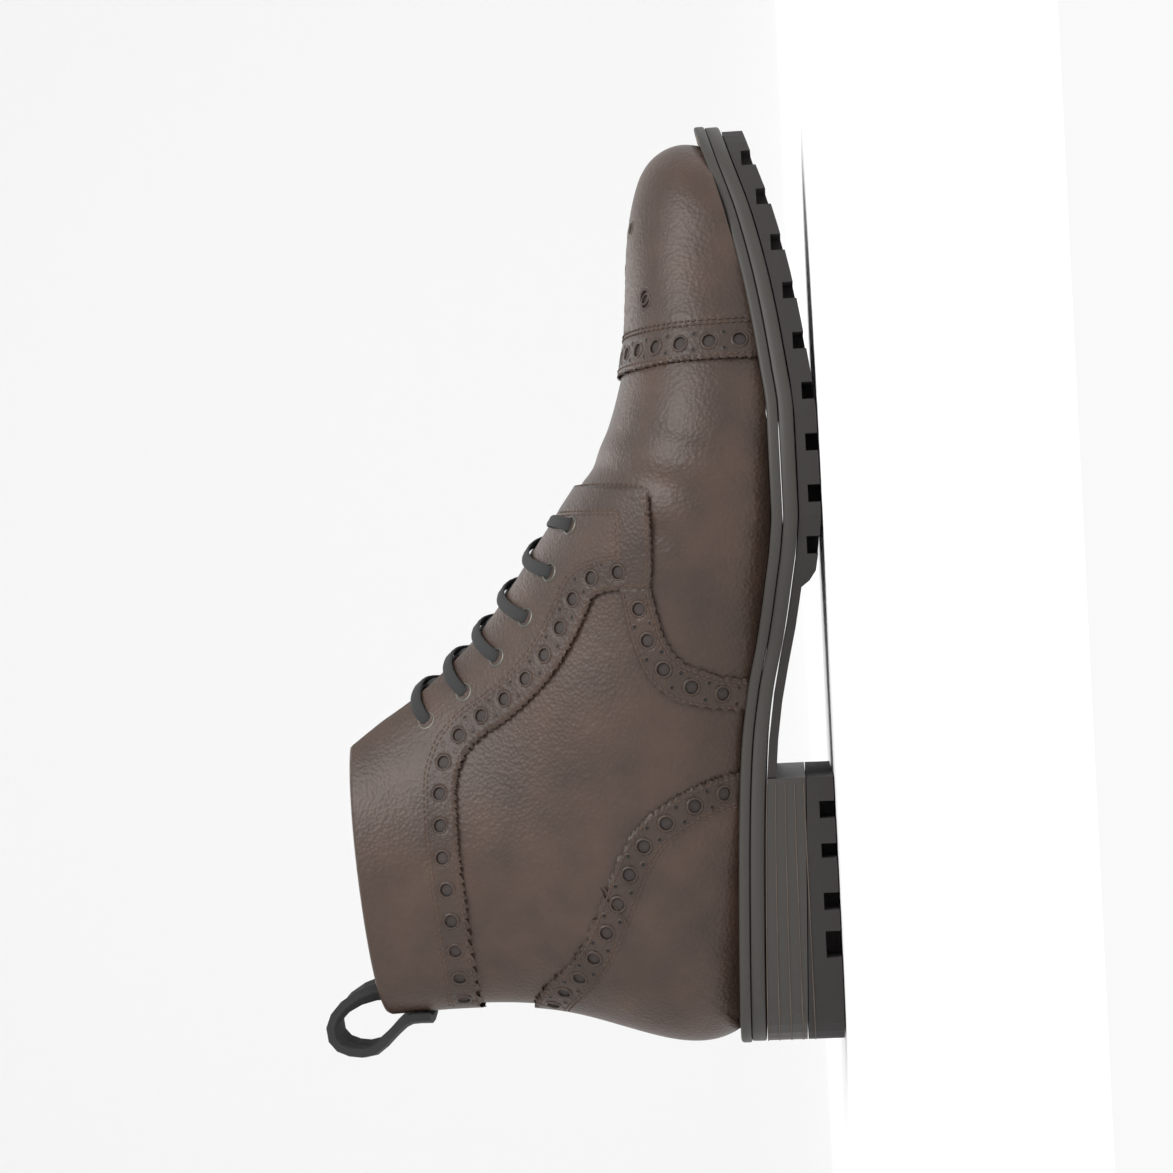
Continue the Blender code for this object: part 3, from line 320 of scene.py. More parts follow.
def steady(knots: Sequence[float], values: Sequence[float]) -> Curve:
    """A curve through the values that never swings past them.

    Args:
        knots: Places.
        values: Values there.

    Returns:
        A function of arrays.
    """
    k = np.asarray(knots, float)
    v = np.asarray(values, float)
    h = np.diff(k)
    d = np.diff(v) / h
    m = np.zeros(len(k))
    for i in range(1, len(k) - 1):
        if d[i - 1] * d[i] > 0.0:
            a, b = 2.0 * h[i] + h[i - 1], h[i] + 2.0 * h[i - 1]
            m[i] = (a + b) / (a / d[i - 1] + b / d[i])
    m[0], m[-1] = d[0], d[-1]

    def at(x: object) -> Array:
        """The curve at places."""
        x = np.clip(np.asarray(x, float), k[0], k[-1])
        i = np.clip(np.searchsorted(k, x) - 1, 0, len(k) - 2)
        t = (x - k[i]) / h[i]
        return (v[i] * (1 + 2 * t) * (1 - t) ** 2 + m[i] * h[i] * t * (1 - t) ** 2
                + v[i + 1] * t * t * (3 - 2 * t) + m[i + 1] * h[i] * t * t * (t - 1))
    return at


def plan_loop() -> Array:
    """The sole's outline in plan: a spline through the table's rows, from the heel's back round by the toe.

    Returns:
        720 points.
    """
    rows = [(HEEL_BACK + a * SOLE_LENGTH, -c * BALL_WIDTH) for a, b, c in PLAN]
    tip = [(HEEL_BACK + SOLE_LENGTH, TOE_TIP_SHIFT * BALL_WIDTH)]
    rows += tip + [(HEEL_BACK + a * SOLE_LENGTH, b * BALL_WIDTH) for a, b, c in reversed(PLAN)]
    rows.append((HEEL_BACK, 0.0))
    p = np.array(rows, float)
    p = np.roll(p, 1, axis=0)
    wrap = np.concatenate([p[-3:], p, p[:4]])
    knots = np.concatenate([[0.0], np.cumsum(np.linalg.norm(np.diff(wrap, axis=0), axis=1) ** 0.5)])
    fine = np.linspace(knots[3], knots[3 + len(p)], 720, endpoint=False)
    return np.stack([spline(knots, wrap[:, 0])(fine), spline(knots, wrap[:, 1])(fine)], -1)

class Side(Enum):
    """The two sides of the boot, by the sign of +Y."""

    LATERAL = -1.0
    MEDIAL = 1.0


class Last:
    """The true form that the upper was made over, as sections in tilted planes."""

    def __init__(self) -> None:
        """Fit the smooth curves through the tables' rows."""
        self.curves: list[Curve] = [spline(range(len(LAST)), column(LAST, i)) for i in range(10)]
        self.rows: float = len(LAST) - 1.0
        self.seat_heel: Curve = steady(column(SEAT, 0), column(SEAT, 1))
        self.seat_toe: Curve = steady(column(SEAT, 0), column(SEAT, 2))
        self.throat: Curve = steady(column(THROAT, 0), column(THROAT, 1))
        s, f = np.meshgrid(np.linspace(TIP_ROW, self.rows, 200), np.linspace(0, 1, 60), indexing="ij")
        self.grid = np.stack([s.ravel(), f.ravel()], -1)
        front, back = self.section(self.grid[:, 0])[:2]
        self.grid_xz = front + self.grid[:, 1:] * (back - front)

    def seat(self, x: Array | float) -> Array:
        """Height of the welt's top.

        Args:
            x: Places along the boot.

        Returns:
            The heights.
        """
        t = (np.asarray(x, float) - HEEL_BACK) / SOLE_LENGTH
        return STACK + (HEEL_LIFT - STACK) * self.seat_heel(t) + TOE_SPRING * self.seat_toe(t)

    def section(self, s: Array | float) -> tuple[Array, ...]:
        """Front and back points, middle, half-widths, widest place and squareness of rows.

        Args:
            s: Row numbers.

        Returns:
            Front (x, z), back (x, z), middle, lateral, medial, widest, front and back squareness.
        """
        c = [curve(s) for curve in self.curves]
        fx, bx = HEEL_BACK + c[0] * SOLE_LENGTH, HEEL_BACK + c[2] * SOLE_LENGTH
        front = np.stack([fx, self.seat(fx) + c[1] * SHAFT_RISE], -1)
        back = np.stack([bx, self.seat(bx) + c[3] * SHAFT_RISE], -1)
        return (front, back, c[4] * BALL_WIDTH, c[5] * BALL_WIDTH, c[6] * BALL_WIDTH, c[7], c[8], c[9])

    def at(self, s: Array, f: Array, side: Array | float) -> Array:
        """Surface points: front + f (back - front) in the side view, middle plus a squared half-width across.

        Args:
            s: Row numbers.
            f: Shares down each row's plane.
            side: -1 for lateral, +1 for medial.

        Returns:
            Points, one per row number.
        """
        front, back, middle, lateral, medial, widest, n_front, n_back = self.section(s)
        width = np.where(np.asarray(side) < 0, lateral, medial)
        up = np.clip(1.0 - f / widest, 0.0, 1.0)
        down = np.clip((f - widest) / (1.0 - widest), 0.0, 1.0)
        share = np.where(f < widest, np.clip(1.0 - up ** n_front, 0, 1) ** (1.0 / n_front),
                         np.clip(1.0 - down ** n_back, 0, 1) ** (1.0 / n_back))
        p = front + f[..., None] * (back - front)
        return np.stack([p[..., 0], middle + side * width * share, p[..., 1]], -1)

    def down(self, s: Array, w: Array) -> Array:
        """Share down each row's plane at which the front lies w across from the ridge.

        Args:
            s: Row numbers.
            w: Signed places across, from the row's middle.

        Returns:
            The shares.
        """
        _, _, _, lateral, medial, widest, n_front, _ = self.section(s)
        share = np.clip(np.abs(w) / np.where(w < 0, lateral, medial), 0.0, 1.0)
        return widest * (1.0 - np.clip(1.0 - share ** n_front, 0, 1) ** (1.0 / n_front))

    def over(self, s: Array, w: Array, lift: Array | float) -> tuple[Array, Array]:
        """Points over the front of the last, by row and place across.

        Args:
            s: Row numbers.
            w: Signed places across.
            lift: Distance out along the normal.

        Returns:
            Points and unit normals.
        """
        s, w = np.broadcast_arrays(np.asarray(s, float), np.asarray(w, float))

        def bare(rows: Array, across: Array) -> Array:
            """The surface itself, its ridge a little rounded."""
            rounded = np.hypot(across, RIDGE_ROUND) * np.where(across < 0, -1, 1)
            sideways = np.stack([np.zeros_like(across), across, np.zeros_like(across)], -1)
            return self.at(rows, self.down(rows, rounded), 0.0) + sideways

        a = bare(s, w + 4e-4) - bare(s, w - 4e-4)
        b = bare(s + 0.02, w) - bare(s - 0.02, w)
        n = np.cross(a, b)
        n /= np.linalg.norm(n, axis=-1, keepdims=True)
        n *= np.where(n[..., 2:] + 0.5 * n[..., :1] < 0.0, -1.0, 1.0)
        return bare(s, w) + n * np.asarray(lift)[..., None], n

    def find(self, xz: Array) -> tuple[Array, Array]:
        """Row and share down of side-view places, by Newton's steps from the nearest grid place.

        Args:
            xz: Side-view places.

        Returns:
            Row numbers and shares down.
        """
        near = np.array([np.argmin(((self.grid_xz - p) ** 2).sum(1)) for p in xz])
        s, f = self.grid[near, 0].copy(), self.grid[near, 1].copy()
        for _ in range(6):
            def place(rows: Array) -> tuple[Array, Array]:
                """Side-view place and the plane's run at rows."""
                front, back = self.section(rows)[:2]
                return front + f[:, None] * (back - front), back - front
            here, run = place(s)
            ds = (place(s + 1e-3)[0] - here) / 1e-3
            gap = xz - here
            det = ds[:, 0] * run[:, 1] - ds[:, 1] * run[:, 0]
            s = np.clip(s + (gap[:, 0] * run[:, 1] - gap[:, 1] * run[:, 0]) / det, TIP_ROW, self.rows)
            f = np.clip(f + (ds[:, 0] * gap[:, 1] - ds[:, 1] * gap[:, 0]) / det, 0.0, 1.0)
        return s, f

    def normal(self, s: Array, f: Array, side: Array | float) -> Array:
        """Unit normals out of the surface.

        Args:
            s: Row numbers.
            f: Shares down.
            side: -1 or +1.

        Returns:
            Unit normals.
        """
        f = np.clip(f, 0.004, 0.996)
        a = self.at(s + 0.01, f, side) - self.at(s - 0.01, f, side)
        b = self.at(s, f + 0.002, side) - self.at(s, f - 0.002, side)
        n = np.cross(a, b)
        n /= np.linalg.norm(n, axis=-1, keepdims=True)
        front, back = self.section(s)[:2]
        mid = (front + back) / 2
        out = self.at(s, f, side) - np.stack([mid[..., 0], np.zeros_like(f), mid[..., 1]], -1)
        return n * np.where((n * out).sum(-1, keepdims=True) < 0, -1.0, 1.0)


@dataclass(frozen=True)
class Finish:
    """One surface finish: colours, gloss and grain."""

    name: str
    colour: tuple[float, float, float]
    rough: float
    grain: float = 0.0
    pitch: float = 900.0
    coat: float = 0.0
    metal: float = 0.0
    mottle: float = 0.25
    shine: float = 0.32
    dark: tuple[float, float, float] = (0.008, 0.006, 0.005)

    def material(self) -> bpy.types.Material:
        """Build the node material, once per finish.

        Returns:
            The material.
        """
        known = bpy.data.materials.get(self.name)
        if known:
            return known
        mat = bpy.data.materials.new(self.name)
        mat.use_nodes = True
        nodes, links = mat.node_tree.nodes, mat.node_tree.links
        shader = nodes["Principled BSDF"]
        shader.inputs["Roughness"].default_value = self.rough
        shader.inputs["Metallic"].default_value = self.metal
        shader.inputs["Coat Weight"].default_value = self.coat
        shader.inputs["Coat Roughness"].default_value = 0.36
        shader.inputs["Specular IOR Level"].default_value = self.shine
        place = nodes.new("ShaderNodeTexCoord")
        cloud = nodes.new("ShaderNodeTexNoise")
        cloud.inputs["Scale"].default_value = 55.0
        cloud.inputs["Detail"].default_value = 6.0
        links.new(place.outputs["Object"], cloud.inputs["Vector"])
        ramp = nodes.new("ShaderNodeValToRGB")
        ramp.color_ramp.elements[0].position, ramp.color_ramp.elements[1].position = 0.3, 0.72
        ramp.color_ramp.elements[0].color = (*(c * (1 - self.mottle) for c in self.colour), 1)
        ramp.color_ramp.elements[1].color = (*(c * (1 + self.mottle) for c in self.colour), 1)
        links.new(cloud.outputs["Fac"], ramp.inputs["Fac"])
        # The shade attribute mixes the colour towards the dark colour. It carries painted shade in holes,
        # eyelets, the welt's groove, between the sole layers and at the upper's foot, and also the punched
        # bands' darker tone.
        shade = nodes.new("ShaderNodeAttribute")
        shade.attribute_name = "shade"
        mix = nodes.new("ShaderNodeMix")
        mix.data_type = "RGBA"
        mix.inputs["B"].default_value = (*self.dark, 1)
        links.new(shade.outputs["Fac"], mix.inputs["Factor"])
        links.new(ramp.outputs["Color"], mix.inputs["A"])
        links.new(mix.outputs["Result"], shader.inputs["Base Color"])
        if self.grain:
            cells = nodes.new("ShaderNodeTexVoronoi")
            cells.inputs["Scale"].default_value = self.pitch
            fine = nodes.new("ShaderNodeTexNoise")
            fine.inputs["Scale"].default_value = self.pitch * 0.45
            fine.inputs["Detail"].default_value = 8.0
            add = nodes.new("ShaderNodeMath")
            add.operation = "ADD"
            bump = nodes.new("ShaderNodeBump")
            bump.inputs["Strength"].default_value = self.grain
            bump.inputs["Distance"].default_value = 0.0004
            for tex in (cells, fine):
                links.new(place.outputs["Object"], tex.inputs["Vector"])
            links.new(cells.outputs["Distance"], add.inputs[0])
            links.new(fine.outputs["Fac"], add.inputs[1])
            links.new(add.outputs["Value"], bump.inputs["Height"])
            links.new(bump.outputs["Normal"], shader.inputs["Normal"])
        return mat


LEATHER = Finish("leather", (0.052, 0.031, 0.022), 0.44, 0.42, 800.0, 0.10)
DISC = Finish("punched", (0.040, 0.030, 0.027), 0.6, 0.25, 1200.0)
THREAD = Finish("thread", (0.075, 0.047, 0.034), 0.7, 0.3, 2500.0)
TONGUE_SKIN = Finish("tongue_leather", (0.045, 0.031, 0.025), 0.5, 0.4, 900.0, 0.1)
LINING = Finish("lining", (0.007, 0.007, 0.007), 0.75, 0.2, 900.0)
LACE = Finish("lace_cotton", (0.018, 0.018, 0.019), 0.55, 0.7, 1500.0, 0.1)
METAL = Finish("eyelet_metal", (0.14, 0.12, 0.11), 0.3, 0.0, 900.0, 0.0, 1.0, 0.1, 0.5)
WEBBING = Finish("webbing", (0.014, 0.014, 0.014), 0.8, 0.8, 1600.0)
EDGE = Finish("edge_leather", (0.020, 0.014, 0.012), 0.5, 0.5, 500.0, 0.05)
WELT_THREAD = Finish("welt_thread", (0.33, 0.25, 0.17), 0.7, 0.3, 2000.0)
RUBBER_SKIN = Finish("sole_rubber", (0.017, 0.016, 0.016), 0.62, 0.5, 700.0)


@dataclass
class Mesh:
    """A growing mesh: points, faces and a shade value per point."""

    name: str
    points: list[Array]
    faces: list[Array]
    shades: list[Array]

    @classmethod
    def empty(cls, name: str) -> Mesh:
        """Start with nothing in it."""
        return cls(name, [], [], [])

    def add(self, points: Array, faces: Array, shade: Array | float = 0.0) -> None:
        """Append points and four-cornered faces.

        Args:
            points: Points.
            faces: Rows of four indices into them.
            shade: Darkness of each point, 0 to 1.
        """
        start = sum(len(p) for p in self.points)
        self.points.append(np.asarray(points, float))
        self.faces.append(np.asarray(faces, int) + start)
        self.shades.append(np.broadcast_to(np.asarray(shade, float), (len(points),)).copy())

    def grid(self, surface: Array, shade: Array | float = 0.0, keep: Array | None = None,
             closed: bool = False) -> None:
        """Append a two-parameter grid.

        Args:
            surface: Points, rows by columns by 3.
            shade: Darkness, one value or one per point.
            keep: Which cells stay, or None for all.
            closed: Join the last column to the first.
        """
        n, m = surface.shape[:2]
        index = np.arange(n * m).reshape(n, m)
        if closed:
            index = np.concatenate([index, index[:, :1]], 1)
        quads = np.stack([index[:-1, :-1], index[1:, :-1], index[1:, 1:], index[:-1, 1:]], -1)
        quads = quads[keep] if keep is not None else quads.reshape(-1, 4)
        self.add(surface.reshape(-1, 3), quads, np.broadcast_to(shade, (n, m)).reshape(-1))

    def build(self, finish: Finish, slot: str, nodes: Sequence[str] = ()) -> bpy.types.Object:
        """Turn it into an object in the frame.

        Args:
            finish: Its finish.
            slot: A slot name; not used.
            nodes: CAD nodes that it replaces.

        Returns:
            The object.
        """
        points, faces = np.concatenate(self.points), np.concatenate(self.faces)
        shades = np.concatenate(self.shades)
        used = np.unique(faces)
        remap = np.zeros(len(points), int)
        remap[used] = np.arange(len(used))
        data = bpy.data.meshes.new(self.name)
        data.from_pydata(points[used].tolist(), [], remap[faces].tolist())
        data.attributes.new("shade", "FLOAT", "POINT").data.foreach_set("value", shades[used])
        data.shade_smooth()
        data.materials.append(finish.material())
        obj = bpy.data.objects.new(self.name, data)
        bpy.context.scene.collection.objects.link(obj)
        bpy.context.view_layer.update()
        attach(obj, "root")
        if nodes:
            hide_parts(*nodes)
        log.info("%s: %d faces", self.name, len(faces))
        return obj


def outline(table: Sequence[Sequence[float]], last: Last, steps: int = 24) -> Array:
    """A smooth line through an outline's rows, in the side view.

    Args:
        table: Rows of shares, along and rise.
        last: The last, for the welt's height.
        steps: Points between two rows.

    Returns:
        Side-view places.
    """
    x = HEEL_BACK + np.array(column(table, 0)) * SOLE_LENGTH
    p = np.stack([x, last.seat(x) + np.array(column(table, 1)) * SHAFT_RISE], -1)
    knots = np.concatenate([[0.0], np.cumsum(np.linalg.norm(np.diff(p, axis=0), axis=1) ** 0.5)])
    fine = np.concatenate([np.linspace(a, b, steps, endpoint=False)
                           for a, b in zip(knots[:-1], knots[1:])] + [[knots[-1]]])
    return np.stack([steady(knots, p[:, 0])(fine), steady(knots, p[:, 1])(fine)], -1)


def signed(points: Array, line: Array) -> tuple[Array, Array]:
    """Distance from an open line, above nought on its left, and the run along it.

    Args:
        points: Side-view places.
        line: The line's places.

    Returns:
        Signed distances and runs.
    """
    best = np.full(len(points), 1e9)
    side, run = np.ones(len(points)), np.zeros(len(points))
    total = 0.0
    for a, b in zip(line[:-1], line[1:]):
        d = b - a
        length = float(np.hypot(*d)) + 1e-12
        t = np.clip(((points - a) @ d) / length ** 2, 0, 1)
        gap = points - a - t[:, None] * d
        dist = (gap ** 2).sum(1)
        near = dist < best - 1e-14
        best[near] = dist[near]
        side[near] = np.sign(d[0] * gap[near, 1] - d[1] * gap[near, 0])
        run[near] = total + t[near] * length
        total += length
    return np.sqrt(best) * side, run


def shift(line: Array, distance: float) -> Array:
    """The line moved to its left in the side view, with the loops that it makes cut out.

    Args:
        line: The line's places.
        distance: How far.

    Returns:
        The moved line.
    """
    run = np.gradient(line, axis=0)
    run /= np.linalg.norm(run, axis=1)[:, None] + 1e-12
    moved = line + np.stack([-run[:, 1], run[:, 0]], -1) * distance
    return moved[np.abs(signed(moved, line)[0]) > abs(distance) * 0.97]


def smooth(t: Array) -> Array:
    """A soft step from 0 to 1."""
    t = np.clip(t, 0.0, 1.0)
    return t * t * (3.0 - 2.0 * t)


@dataclass
class Skin:
    """A dense grid over one side of the last, by row and girth, with the seams' distances on it."""

    last: Last
    side: Side
    lines: dict[str, Array]
    rows: tuple[float, float]
    pitch: float
    gap: float = 1.0

    def __post_init__(self) -> None:
        """Lay the grid out evenly and measure every seam from it."""
        sign = self.side.value
        probe = np.linspace(*self.rows, 300)
        front, back = self.last.section(probe)[:2]
        run = np.concatenate([[0], np.cumsum(np.linalg.norm(np.diff((front + back) / 2, axis=0), axis=1)
                                             * 0.5 + 0.5 * np.linalg.norm(np.diff(front, axis=0), axis=1))])
        count = int(run[-1] / self.pitch) + 2
        s = np.interp(np.linspace(0, run[-1], count), run, probe)
        columns = int(0.128 / self.pitch)
        fine = np.linspace(0, 1, 260)
        grid_s, grid_f = [], []
        for value in s:
            half = self.gap * self.throat_half(value)
            f0 = float(self.last.down(np.array([value]), np.array([sign * max(half, 1e-5)]))[0])
            f1 = self.feather(value)
            turn = 0.5 if f1 < 0.999 else 1.0
            f = f0 + (f1 - f0) * (1 - np.cos(fine * math.pi * turn)) / (2 * turn)
            p = self.last.at(np.full(260, value), f, sign)
            length = np.concatenate([[0], np.cumsum(np.linalg.norm(np.diff(p, axis=0), axis=1))])
            grid_f.append(np.interp(np.linspace(0, length[-1], columns), length, f))
            grid_s.append(np.full(columns, value))
        self.s, self.f = np.array(grid_s), np.array(grid_f)
        self.points = self.last.at(self.s, self.f, sign)
        di, dj = np.gradient(self.points, axis=0), np.gradient(self.points, axis=1)
        self.di, self.dj = di, dj
        n = np.cross(di, dj)
        n /= np.linalg.norm(n, axis=-1, keepdims=True) + 1e-15
        centre = self.points.mean(axis=1, keepdims=True) * [1, 0, 1]
        self.normals = n * (-1.0 if ((self.points - centre) * n).sum(-1).mean() < 0 else 1.0)
        flat = self.points[..., [0, 2]].reshape(-1, 2)
        self.seams = {k: tuple(v.reshape(self.s.shape) for v in signed(flat, line))
                      for k, line in self.lines.items()}

    def throat_half(self, s: float) -> float:
        """Half of the throat's gap at a row."""
        t = min(max((s - UPPER_OPEN_ROW) / OPENING_ROWS / 2.0, 0.0), 1.0)
        return THROAT_HALF * float(self.last.throat(max(s, 9.0))) * math.sqrt(1.0 - (1.0 - t) ** 2)

    def feather(self, s: float) -> float:
        """Share down a row's plane at which the upper meets the welt, 1 where it never does."""
        front, back = self.last.section(s)[:2]
        f = np.linspace(0.0, 1.0, 401)
        p = front + f[:, None] * (back - front)
        over = p[:, 1] - self.last.seat(p[:, 0]) - CLEAR
        below = np.nonzero(over[1:] < 0.0)[0]
        if not len(below):
            return 1.0
        i = below[0] + 1
        return float(f[i - 1] + (f[i] - f[i - 1]) * over[i - 1] / (over[i - 1] - over[i])) \
            if over[i - 1] > 0 else float(f[i])

    def panel(self, mesh: Mesh, inside: Array, height: Array, shade: Array) -> None:
        """Append the part of the grid where a distance is above nought, its edge moved onto the line.

        Args:
            mesh: Where it goes.
            inside: Distance inside the panel's edge.
            height: Lift off the last.
            shade: Darkness.
        """
        gi, gj = np.gradient(inside, axis=0), np.gradient(inside, axis=1)
        size = gi ** 2 + gj ** 2 + 1e-14
        near = np.abs(inside) < 0.8 * self.pitch
        mi = np.where(near, np.clip(-inside * gi / size, -0.6, 0.6), 0)[..., None]
        mj = np.where(near, np.clip(-inside * gj / size, -0.6, 0.6), 0)[..., None]
        p = self.points + self.di * mi + self.dj * mj + self.normals * height[..., None]
        cell = (inside[:-1, :-1] + inside[1:, :-1] + inside[1:, 1:] + inside[:-1, 1:]) / 4
        mesh.grid(p, shade, cell > 0)


@dataclass
class Trim:
    """Stitches, punched holes and beads, laid along lines on the last."""

    last: Last
    stitch: float = 0.0021
    thread: float = 0.00026

    def walk(self, line: Array, side: Side, pitch: float, start: float = 0.5) -> tuple[Array, Array, Array]:
        """Evenly spaced places along a side-view line laid on the last.

        Args:
            line: Side-view places.
            side: Which side.
            pitch: Spacing over the surface.
            start: Share of a pitch before the first.

        Returns:
            Points, normals and unit directions along the line.
        """
        s, f = self.last.find(line)
        p = self.last.at(s, f, side.value)
        good = (np.abs(p[:, [0, 2]] - line).max(1) < 2e-4) & (f < 0.99) & \
            (p[:, 2] > self.last.seat(p[:, 0]) + 0.001)
        s, f, p = s[good], f[good], p[good]
        length = np.concatenate([[0], np.cumsum(np.linalg.norm(np.diff(p, axis=0), axis=1))])
        want = np.arange(start * pitch, length[-1], pitch)
        s, f = np.interp(want, length, s), np.interp(want, length, f)
        q = self.last.at(s, f, side.value)
        ahead = np.stack([np.interp(want + 1e-3, length, p[:, i]) - np.interp(want - 1e-3, length, p[:, i])
                          for i in range(3)], -1)
        return q, self.last.normal(s, f, side.value), ahead / (np.linalg.norm(ahead, axis=1)[:, None] + 1e-12)

    def sew(self, mesh: Mesh, places: tuple[Array, Array, Array], lift: float, length: float = 0.0016,
            radius: float = 0.0) -> None:
        """Lay a stitch at each place: a five-sided capsule along the line.

        Args:
            mesh: Where they go.
            places: Points, normals and directions.
            lift: Height over the last.
            length: Length of each.
            radius: Thread radius, or nought for the usual one.
        """
        p, n, t = places
        if not len(p):
            return
        radius = radius or self.thread
        b = np.cross(n, t)
        rings = ((-0.5, 0.35, -0.6), (-0.36, 1.0, 0.2), (0.36, 1.0, 0.2), (0.5, 0.35, -0.6))
        turn = np.linspace(0, 2 * math.pi, 6)[:-1]
        points = np.stack([np.stack([p + t * a * length + n * (lift + radius * (h + r * math.sin(c)))
                                     + b * radius * r * 1.25 * math.cos(c) for c in turn], 1)
                           for a, r, h in rings], 1)
        faces = [(i * 5 + j, i * 5 + (j + 1) % 5, (i + 1) * 5 + (j + 1) % 5, (i + 1) * 5 + j)
                 for i in range(3) for j in range(5)]
        k = np.arange(len(p))[:, None, None] * 20
        mesh.add(points.reshape(-1, 3), (np.array(faces)[None] + k).reshape(-1, 4))

    def turn(self, mesh: Mesh, p: Array, n: Array, profile: Sequence[tuple[float, float, float]],
             lift: float, sides: int = 20) -> None:
        """Turn a profile about each place's normal.

        Args:
            mesh: Where it goes.
            p: Centres.
            n: Normals.
            profile: Rows of radius, height and shade, in millimetres.
            lift: Height over the last.
            sides: Points round.
        """
        a = np.cross(n, [0.31, 0.2, 0.93])
        a /= np.linalg.norm(a, axis=1)[:, None]
        b = np.cross(n, a)
        rows = np.array(profile)
        c = np.linspace(0, 2 * math.pi, sides, endpoint=False)
        for q, m, u, v in zip(p, n, a, b):
            ring = np.cos(c)[:, None] * u + np.sin(c)[:, None] * v
            surface = q + m * lift + (rows[:, 0, None, None] * ring + rows[:, 1, None, None] * m) / 1000.0
            mesh.grid(surface, rows[:, 2:3], None, True)

    def bead(self, mesh: Mesh, path: Array, radius: float, sides: int = 8, shade: float = 0.0) -> None:
        """Sweep a round bead along a path.

        Args:
            mesh: Where it goes.
            path: Points.
            radius: Its radius.
            sides: Points round.
            shade: Darkness.
        """
        t = np.gradient(path, axis=0)
        t /= np.linalg.norm(t, axis=1)[:, None] + 1e-12
        up = np.cross(t, [0.02, 1.0, 0.03])
        up /= np.linalg.norm(up, axis=1)[:, None] + 1e-12
        b = np.cross(t, up)
        c = np.linspace(0, 2 * math.pi, sides, endpoint=False)[None, :, None]
        ring = np.cos(c) * up[:, None] + np.sin(c) * b[:, None]
        mesh.grid(path[:, None] + radius * ring, shade, None, True)

    def ribbon(self, mesh: Mesh, knots: Array, normals: Array, width: Array, thick: float) -> None:
        """Sweep a flat woven lace through knots.

        Args:
            mesh: Where it goes.
            knots: Points on its way.
            normals: Its face's normals there.
            width: Its width at each knot.
            thick: Its thickness.
        """
        run = np.concatenate([[0], np.cumsum(np.linalg.norm(np.diff(knots, axis=0), axis=1) ** 0.5)])
        fine = np.linspace(0, run[-1], 64)
        p = np.stack([spline(run, knots[:, i])(fine) for i in range(3)], -1)
        n = np.stack([np.interp(fine, run, normals[:, i]) for i in range(3)], -1)
        w = np.interp(fine, run, width)
        t = np.gradient(p, axis=0)
        t /= np.linalg.norm(t, axis=1)[:, None]
        b = np.cross(n, t)
        b /= np.linalg.norm(b, axis=1)[:, None] + 1e-12
        n = np.cross(t, b)
        c = np.linspace(0, 2 * math.pi, 16, endpoint=False)
        x = np.sign(np.cos(c)) * np.abs(np.cos(c)) ** 0.7 / 2
        y = np.sin(c) / 2 * (1.0 + 0.12 * np.cos(np.arange(16) * 2.4))
        ridge = 1.0 + 0.07 * np.sin(np.arange(64)[:, None] * 1.9 + x[None] * 9.0)
        mesh.grid(p[:, None] + b[:, None] * (w[:, None] * x)[..., None]
                  + n[:, None] * (thick * y * ridge)[..., None], 0.0, None, True)


# Profiles for the holes: radius, height and shade. The shade is painted shade on the large holes' inner walls
# and round the feet of their rims. The large holes' floors are the underlay, darkened towards their edges
# with painted shade. The pricks' floors are near-black discs of painted shade.
PUNCH = ((2.0, -0.55, 0.9), (2.08, 0.10, 0.5), (2.3, 0.30, 0.0), (2.6, 0.22, 0.0), (2.9, -0.10, 0.25))
PUNCH_FLOOR = ((0.01, -0.40, 0.1), (1.5, -0.42, 0.2), (2.15, -0.5, 0.9))
PRICK = ((0.6, 0.03, 0.9), (0.72, 0.16, 0.2), (0.95, 0.14, 0.0), (1.2, -0.08, 0.2))
PRICK_SHADE_DISC = ((0.01, 0.06, 0.9), (0.7, 0.06, 1.0))
# The eyelet's barrel and the foot of its flange are darkened with painted shade. A black disc of painted
# shade covers its opening.
EYELET = ((2.15, -1.2, 0.6), (2.2, 0.45, 0.1), (2.45, 0.72, 0.0), (3.0, 0.80, 0.0), (3.45, 0.55, 0.0),
          (3.65, 0.0, 0.2))
EYELET_SHADE_DISC = ((0.01, 0.12, 1.0), (2.25, 0.12, 1.0))


LAMPS = (("key", (0.55, -0.60, 0.75), 0.5, 6.5), ("fill", (-0.5, -0.9, 0.5), 0.9, 1.2),
         ("rim", (0.1, 0.5, 0.7), 0.6, 1.6))


